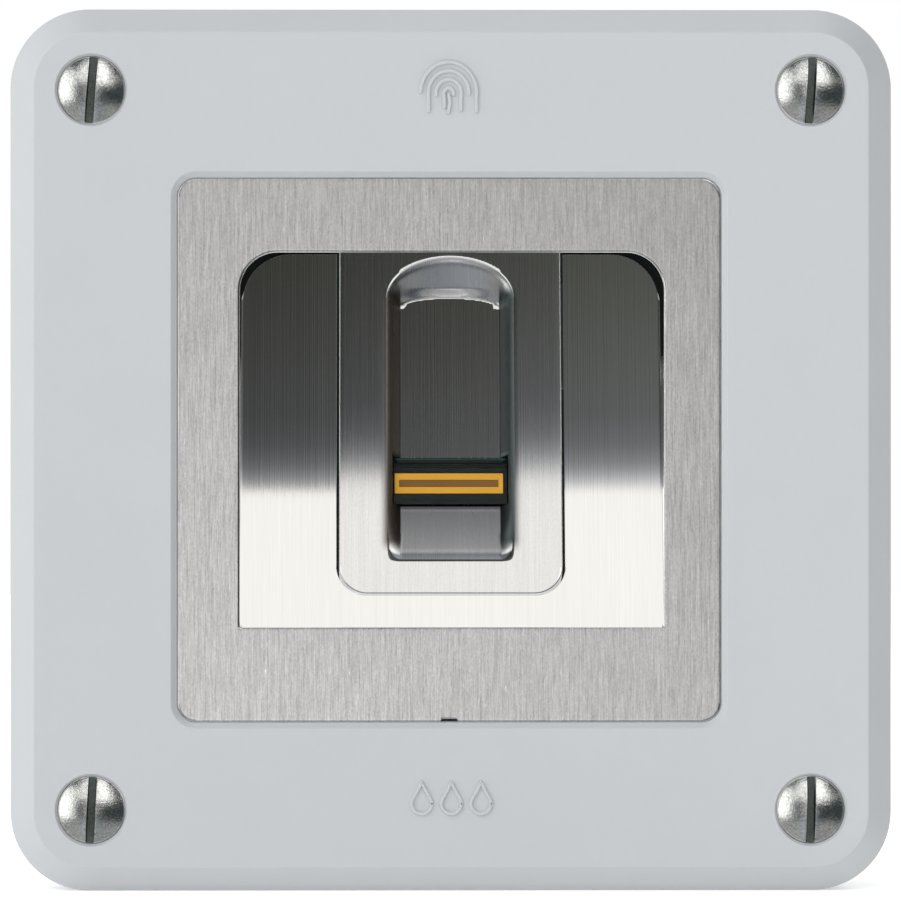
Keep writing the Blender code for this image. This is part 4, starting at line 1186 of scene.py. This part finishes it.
def front_bezel(finish):
    """The black frame behind the plate. Its opening hugs the tray, so nothing shows past the tray's corners."""
    low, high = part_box("front_bezel")
    body_half, opening_half = 29.7 * MM, 24.7 * MM
    flange_front, flange_back, flange = WALL - 5.2 * MM, WALL - 3.6 * MM, body_half - high.x
    radius = opening_half - TRAY_HALF + TRAY_CORNER_RADIUS
    bottom, top = -20.6 * MM, TRAY_CORNER_START + radius
    outer = fillet(
        (0.5 * MM, low.y, 0),
        (0.0, low.y, 0.2 * MM),
        (0.0, flange_front, 0.1 * MM),
        (flange, flange_front, 0.2 * MM),
        (flange, flange_back, 0.2 * MM),
        (0.0, flange_back, 0.1 * MM),
        (0.0, high.y, 0.2 * MM),
        (0.5 * MM, high.y, 0),
    )
    inner = fillet((0.4 * MM, high.y, 0), (0.0, high.y, 0.15 * MM), (0.0, low.y, 0.15 * MM), (0.4 * MM, low.y, 0))
    shell = Shell()
    shell.framed(
        [at_depth(rounded(body_half - i, body_half - i, 2.0 * MM - min(i, 1.9 * MM)), y) for i, y in outer],
        [at_depth(arched(opening_half + i, top + i, bottom - i, radius + i, 0.5 * MM + i, 16), y) for i, y in inner],
    )
    shell.finish("front_bezel_frame", finish, "front_bezel").visible_glossy = False


def sensor_carrier(finish):
    """The block in the guide's window, with two wavy beads of sealant along its upper edge and a flange behind."""
    shell = Shell()
    half_x, half_z = WINDOW_HALF_X - 0.16 * MM, WINDOW_HALF_Z - 0.16 * MM
    shell.prism(rounded(half_x, half_z, 0.2 * MM, (0.0, WINDOW_CENTRE), 4), CARRIER_FACE, CARRIER_BACK, 0.06 * MM)
    bead_z = WINDOW_CENTRE + half_z - 0.36 * MM
    for centre_z, radius, sink in ((bead_z, 0.38 * MM, 0.10 * MM), (bead_z - 0.62 * MM, 0.16 * MM, 0.05 * MM)):
        rows = []
        for step in range(41):
            x = -half_x + 2 * half_x * step / 40
            thick = radius + 0.03 * MM * noise.noise(Vector((x * 900, centre_z * 1e4, 1.0)))
            grow = min(1.0, (half_x - abs(x)) / (0.5 * MM) + 0.25)
            section = arc_points(thick, (centre_z, 0.0), 0.0, math.pi, 12)
            row = [Vector((x, CARRIER_FACE + sink - rise * grow, z)) for z, rise in section]
            rows.append(row + [Vector((x, CARRIER_FACE + 0.5 * MM, point.z)) for point in (row[-1], row[0])])
        shell.solid(rows)
    flange = rounded(12.0 * MM, 4.5 * MM, 0.5 * MM, SENSOR_CENTRE, 4)
    shell.prism(flange, CARRIER_BACK, CARRIER_BACK + 1.6 * MM, 0.1 * MM)
    shell.place(RAMP)
    shell.finish("sensor_carrier_moulding", finish, "sensor_carrier")


def sensor_face(gold, brown):
    """The gold electrode ring and the brown sensing line inside it."""
    ring_front, ring_back, gap = SENSOR_FACE + 0.02 * MM, CARRIER_FACE + 0.05 * MM, 0.02 * MM
    place = Matrix.Translation((SENSOR_SHIFT, 0.0, 0.0)) @ RAMP

    def ring(half_x, half_z, radius, depth):
        return at_depth(rounded(half_x, half_z, radius, SENSOR_CENTRE, 3), depth)

    edge = fillet((0.0, ring_back, 0), (0.0, ring_front, 0.03 * MM), (0.55 * MM, ring_front, 0), steps=3)[:-1]
    hole = fillet((0.1 * MM, ring_front, 0), (0.0, ring_front, 0.03 * MM), (0.0, ring_back, 0), steps=3)
    shell = Shell()
    shell.framed(
        [ring(RING_HALF_X - i, RING_HALF_Z - i, 0.08 * MM, y) for i, y in edge],
        [ring(STRIP_HALF_X + gap + i, STRIP_HALF_Z + gap + i, 0.04 * MM + i, y) for i, y in hole],
    )
    shell.place(place)
    shell.finish("sensor_ring_gold", gold, "sensor_bezel")
    shell = Shell()
    outline = rounded(STRIP_HALF_X, STRIP_HALF_Z, 0.04 * MM, SENSOR_CENTRE, 3)
    shell.prism(outline, ring_front + 0.01 * MM, ring_back, 0.015 * MM)
    shell.place(place)
    shell.finish("sensor_line_coated", brown, "sensor_strip")


# Light and camera. The surroundings are drawn for mirrors: grain is the height along the ramp's brushed lines,
# and the ramp shows the dark side above RAMP_STEP and the open side below it.

RAMP_STEP = 0.2616
DARK_RANGE = 0.14
OPEN_SIDE = (  # elevation in degrees, colour
    (-12, (0.34, 0.37, 0.41)),
    (-8, (0.95, 0.96, 0.97)),
    (-2, (0.84, 0.84, 0.83)),
    (2, (0.66, 0.66, 0.66)),
    (6, (0.56, 0.57, 0.58)),
    (20, (0.70, 0.71, 0.72)),
    (25, (1.40, 1.39, 1.36)),
)
DARK_SIDE = (  # share of DARK_RANGE above RAMP_STEP, colour
    (0.0, (0.62, 0.63, 0.65)),
    (0.0135, (0.32, 0.33, 0.345)),
    (0.0236, (0.200, 0.210, 0.225)),
    (0.044, (0.125, 0.133, 0.139)),
    (0.075, (0.098, 0.103, 0.106)),
    (0.137, (0.088, 0.092, 0.089)),
    (0.24, (0.068, 0.071, 0.063)),
    (0.45, (0.070, 0.074, 0.070)),
    (0.85, (0.30, 0.32, 0.34)),
    (1.0, (0.31, 0.33, 0.36)),
)
SOFT_BOXES = (  # azimuth from, to and fade, elevation from, to and fade, in degrees, and strength
    (-80, -50, 14, -13, 32, 12, 1.75),
    (12, 38, 16, 24, 62, 15, 2.1),
    (-26, -6, 10, 28, 64, 12, 1.8),
)


def world_light():
    """Studio surroundings: what mirrors see is drawn by direction, diffuse surfaces get an even light."""
    world = bpy.data.worlds.new("studio")
    bpy.context.scene.world = world
    world.use_nodes = True
    nodes = Nodes(world.node_tree)
    x, y, z = nodes.axes("Generated")
    front = y * -1.0
    azimuth = nodes.math("ARCTAN2", x, front)
    elevation = nodes.math("ARCSINE", z)
    grain = y * math.sin(RAMP_TILT) + z * math.cos(RAMP_TILT)
    deg = math.radians

    open_stops = [((math.sin(deg(up) - RAMP_TILT) + 1) / 2, colour) for up, colour in OPEN_SIDE]
    open_stops = [(0.0, (0.36, 0.39, 0.43)), *open_stops, (0.70, (1.55, 1.52, 1.48))]
    open_side = nodes.stops((grain + 1.0) * 0.5, open_stops)
    dark_share = nodes.add("MapRange", {0: grain, 1: RAMP_STEP, 2: RAMP_STEP + DARK_RANGE, 3: 0.0, 4: 1.0})
    dark_side = nodes.stops(dark_share, DARK_SIDE)
    to_right = (azimuth * 17.0 + 1.04).at_least(0.80).at_most(1.75)
    to_left = (azimuth * -3.3 + 0.16).at_least(-0.3).at_most(0.4)
    dark_side = nodes.shade(dark_side, to_right - 1.0)
    open_side = nodes.shade(open_side, to_left * grain.fade(-0.03, -0.12))
    profile = nodes.blend(grain.fade(RAMP_STEP - 0.0006, RAMP_STEP + 0.0002), open_side, dark_side)

    boxes = [
        azimuth.window(deg(left), deg(right), deg(side_fade)) * elevation.window(deg(low), deg(high), deg(fade)) * power
        for left, right, side_fade, low, high, fade, power in SOFT_BOXES
    ]
    left_grey = azimuth.fade(deg(-2), deg(-30)) * 0.05
    below = elevation.fade(deg(-23), deg(-30)) * 0.30
    behind = front.fade(-0.05, -0.35) * 0.75
    wide = boxes[0] + boxes[1] + boxes[2] + left_grey + below + behind + 0.055

    ahead = azimuth.window(deg(-8), deg(9), deg(5))
    ahead_low = azimuth.window(deg(-16), deg(17), deg(18)) * elevation.fade(deg(-20), deg(-28))
    band = grain.window(0.2405, 0.300, 0.004)
    middle = ahead.at_least(ahead_low).at_least(band)
    surroundings = nodes.blend(middle, nodes.rgb(wide, wide + 0.012, wide + 0.014), profile)
    soft = (front * 0.70 + x * -0.88 + z * 0.33 + 0.79 + x.size() * -0.32).at_least(0.0)
    for_matt = nodes.add("LightPath", output="Is Diffuse Ray")
    even = nodes.blend(for_matt, surroundings, nodes.rgb(soft, soft, soft))
    for_camera = nodes.add("LightPath", output="Is Camera Ray")
    world.cycles.sampling_method = "NONE"
    background = world.node_tree.nodes["Background"]
    nodes.feed(background.inputs["Color"], nodes.blend(for_camera, even, nodes.rgb(1.0, 1.0, 1.0)))


def area_light(name, place, size, power):
    """A square lamp that faces the origin."""
    data = bpy.data.lights.new(name, "AREA")
    data.shape = "SQUARE"
    data.size = size
    data.energy = power
    made = bpy.data.objects.new(name, data)
    bpy.context.scene.collection.objects.link(made)
    made.location = place
    made.rotation_mode = "QUATERNION"
    made.rotation_quaternion = (-Vector(place)).to_track_quat("-Z", "Y")
    made.visible_glossy = False
    made.visible_camera = False


def floor():
    """A pale floor that the cover's lower edge stands on."""
    data = bpy.data.meshes.new("floor")
    half, level = 1.5, cad_box[0].z
    corners = [(-half, -half, level), (half, -half, level), (half, half, level), (-half, half, level)]
    data.from_pydata(corners, [], [(0, 1, 2, 3)])
    made = bpy.data.objects.new("floor", data)
    bpy.context.scene.collection.objects.link(made)
    nodes = Surface("pale_floor")
    finish = nodes.finish(
        Base_Color=nodes.shade(nodes.rgb(0.90, 0.90, 0.90), nodes.noise(8, detail=3.0).swing(0.01)),
        Roughness=0.8,
        Emission_Color=nodes.rgb(1.0, 1.0, 1.0),
        Emission_Strength=0.35,
    )
    data.materials.append(finish)
    made.visible_glossy = False


def camera():
    """Head on, from slightly left of the axis, and aimed at the middle of the object."""
    seen_width, distance = 100.1 * MM, 735 * MM
    aside, aim = -9.5 * MM, -0.1 * MM
    data = bpy.data.cameras.new("camera")
    data.sensor_width = 36.0
    data.lens = data.sensor_width * distance / seen_width
    data.clip_start, data.clip_end = 0.05, 20.0
    made = bpy.data.objects.new("camera", data)
    bpy.context.scene.collection.objects.link(made)
    made.location = (aside, COVER_FRONT - distance, 0.0)
    made.rotation_euler = (math.pi / 2, 0.0, -math.atan2(aim - aside, distance))
    bpy.context.scene.camera = made
    bpy.context.scene.view_settings.view_transform = "Standard"


def front_pieces():
    grey = moulded_plastic("moulded_grey", (0.455, 0.475, 0.492))
    cover_frame(grey)
    fingerprint_mark(grey)
    drops_mark(grey)
    seals(rubber("black_rubber"))
    polished = turned_metal("polished_steel", (0.66, 0.66, 0.63), 0.10, wear=0.26, speck=0.24, height=0.032)
    slot_steel = turned_metal("slot_steel", (0.16, 0.18, 0.16), 0.45, wear=0.35, speck=0.25, height=0.02)
    for corner, lean in zip(CORNERS, (4.5, 3.4, 2.8, 1.0)):
        cover_screw(corner, polished, slot_steel, lean)
    faceplate(brushed_steel("brushed_plate", (0.62, 0.61, 0.60), 0.15, 0.80, 0.45, run=2.4, specks=0.22))
    # The tray's walls and upper corners carry painted shadow.
    ramp_tray(brushed_steel("brushed_tray", (0.63, 0.625, 0.61), 0.02, 0.12, 0.05, tint=corner_shadow))
    guide_colour = (0.560, 0.557, 0.553)
    # The guide's groove walls and run-out carry painted shade and painted reflections.
    finger_guide(
        brushed_steel("brushed_guide", guide_colour, 0.042, 0.22, 0.08, specks=0.08, tint=groove_painted_shade, dulled=0.23)
    )
    sensor_carrier(gloss_black("carrier_black"))
    sensor_face(gold_plate("gold_electrode"), sensing_line("sensing_line"))


def dress(finish, width, *names):
    """Gives carried-over CAD nodes their material and rounds their edges. width is in millimetres."""
    for name in names:
        made = frame["nodes"][name]
        made.data.materials.clear()
        made.data.materials.append(finish)
        round_edges(made, width * MM, 30.0)
        made.visible_glossy = False


def carried_over():
    """CAD nodes whose shapes are right."""
    zinc = turned_metal("zinc_plate", (0.50, 0.50, 0.52), 0.38, wear=0.12)
    mask = solder_mask("solder_mask")
    chip = moulded_plastic("chip_resin", (0.022, 0.022, 0.024), mottling=0.1)
    can = turned_metal("bright_can", (0.72, 0.72, 0.70), 0.22, wear=0.05)
    dark = moulded_plastic("dark_moulding", (0.045, 0.048, 0.052), texture=0.16, height=0.008, mottling=0.06)
    black = moulded_plastic("black_moulding", (0.020, 0.020, 0.022), mottling=0.08)
    clear = clear_moulding("clear_acrylic")
    ivory = moulded_plastic("ivory_moulding", (0.70, 0.66, 0.55), roughness=0.45, mottling=0.05)
    amber = moulded_plastic("amber_film", (0.48, 0.20, 0.03), roughness=0.25, mottling=0.12)
    green = moulded_plastic("terminal_green", (0.05, 0.27, 0.10), roughness=0.4, mottling=0.05)
    dress(zinc, 0.12, *("standoff_" + corner for corner in CORNERS))
    dress(zinc, 0.06, *("housing_screw_" + corner for corner in CORNERS), "sensor_screw_left", "sensor_screw_right")
    dress(zinc, 0.08, "box_screw_left", "box_screw_right")
    dress(zinc, 0.05, *(f"clamp_screw_{number}" for number in range(1, 5)))
    dress(mask, 0.05, "sensor_board", "main_board")
    dress(chip, 0.08, "processor_chip", "transceiver_chip", "buzzer")
    dress(can, 0.08, "crystal_can", "capacitor_upper", "capacitor_lower")
    dress(ivory, 0.08, "flex_socket")
    dress(clear, 0.06, "light_guide", "status_led")
    dress(amber, 0.04, "sensor_flex")
    front_bezel(black)
    dress(dark, 0.2, "module_housing", "back_cover")
    dress(black, 0.1, "terminal_header")
    dress(green, 0.15, "terminal_plug")
    dress(galvanised("galvanised_sheet", (0.52, 0.53, 0.55)), 0.12, "support_plate")
    for side in ("top", "bottom"):
        dress(turned_metal("spring_steel_" + side, (0.60, 0.60, 0.61), 0.25), 0.1, "spring_clip_" + side)


world_light()
area_light("key_left", (-0.55, -0.45, 0.40), 0.25, 0.4)
area_light("back_fill", (0.45, 0.60, 0.40), 0.40, 4.0)
floor()
camera()
front_pieces()
carried_over()
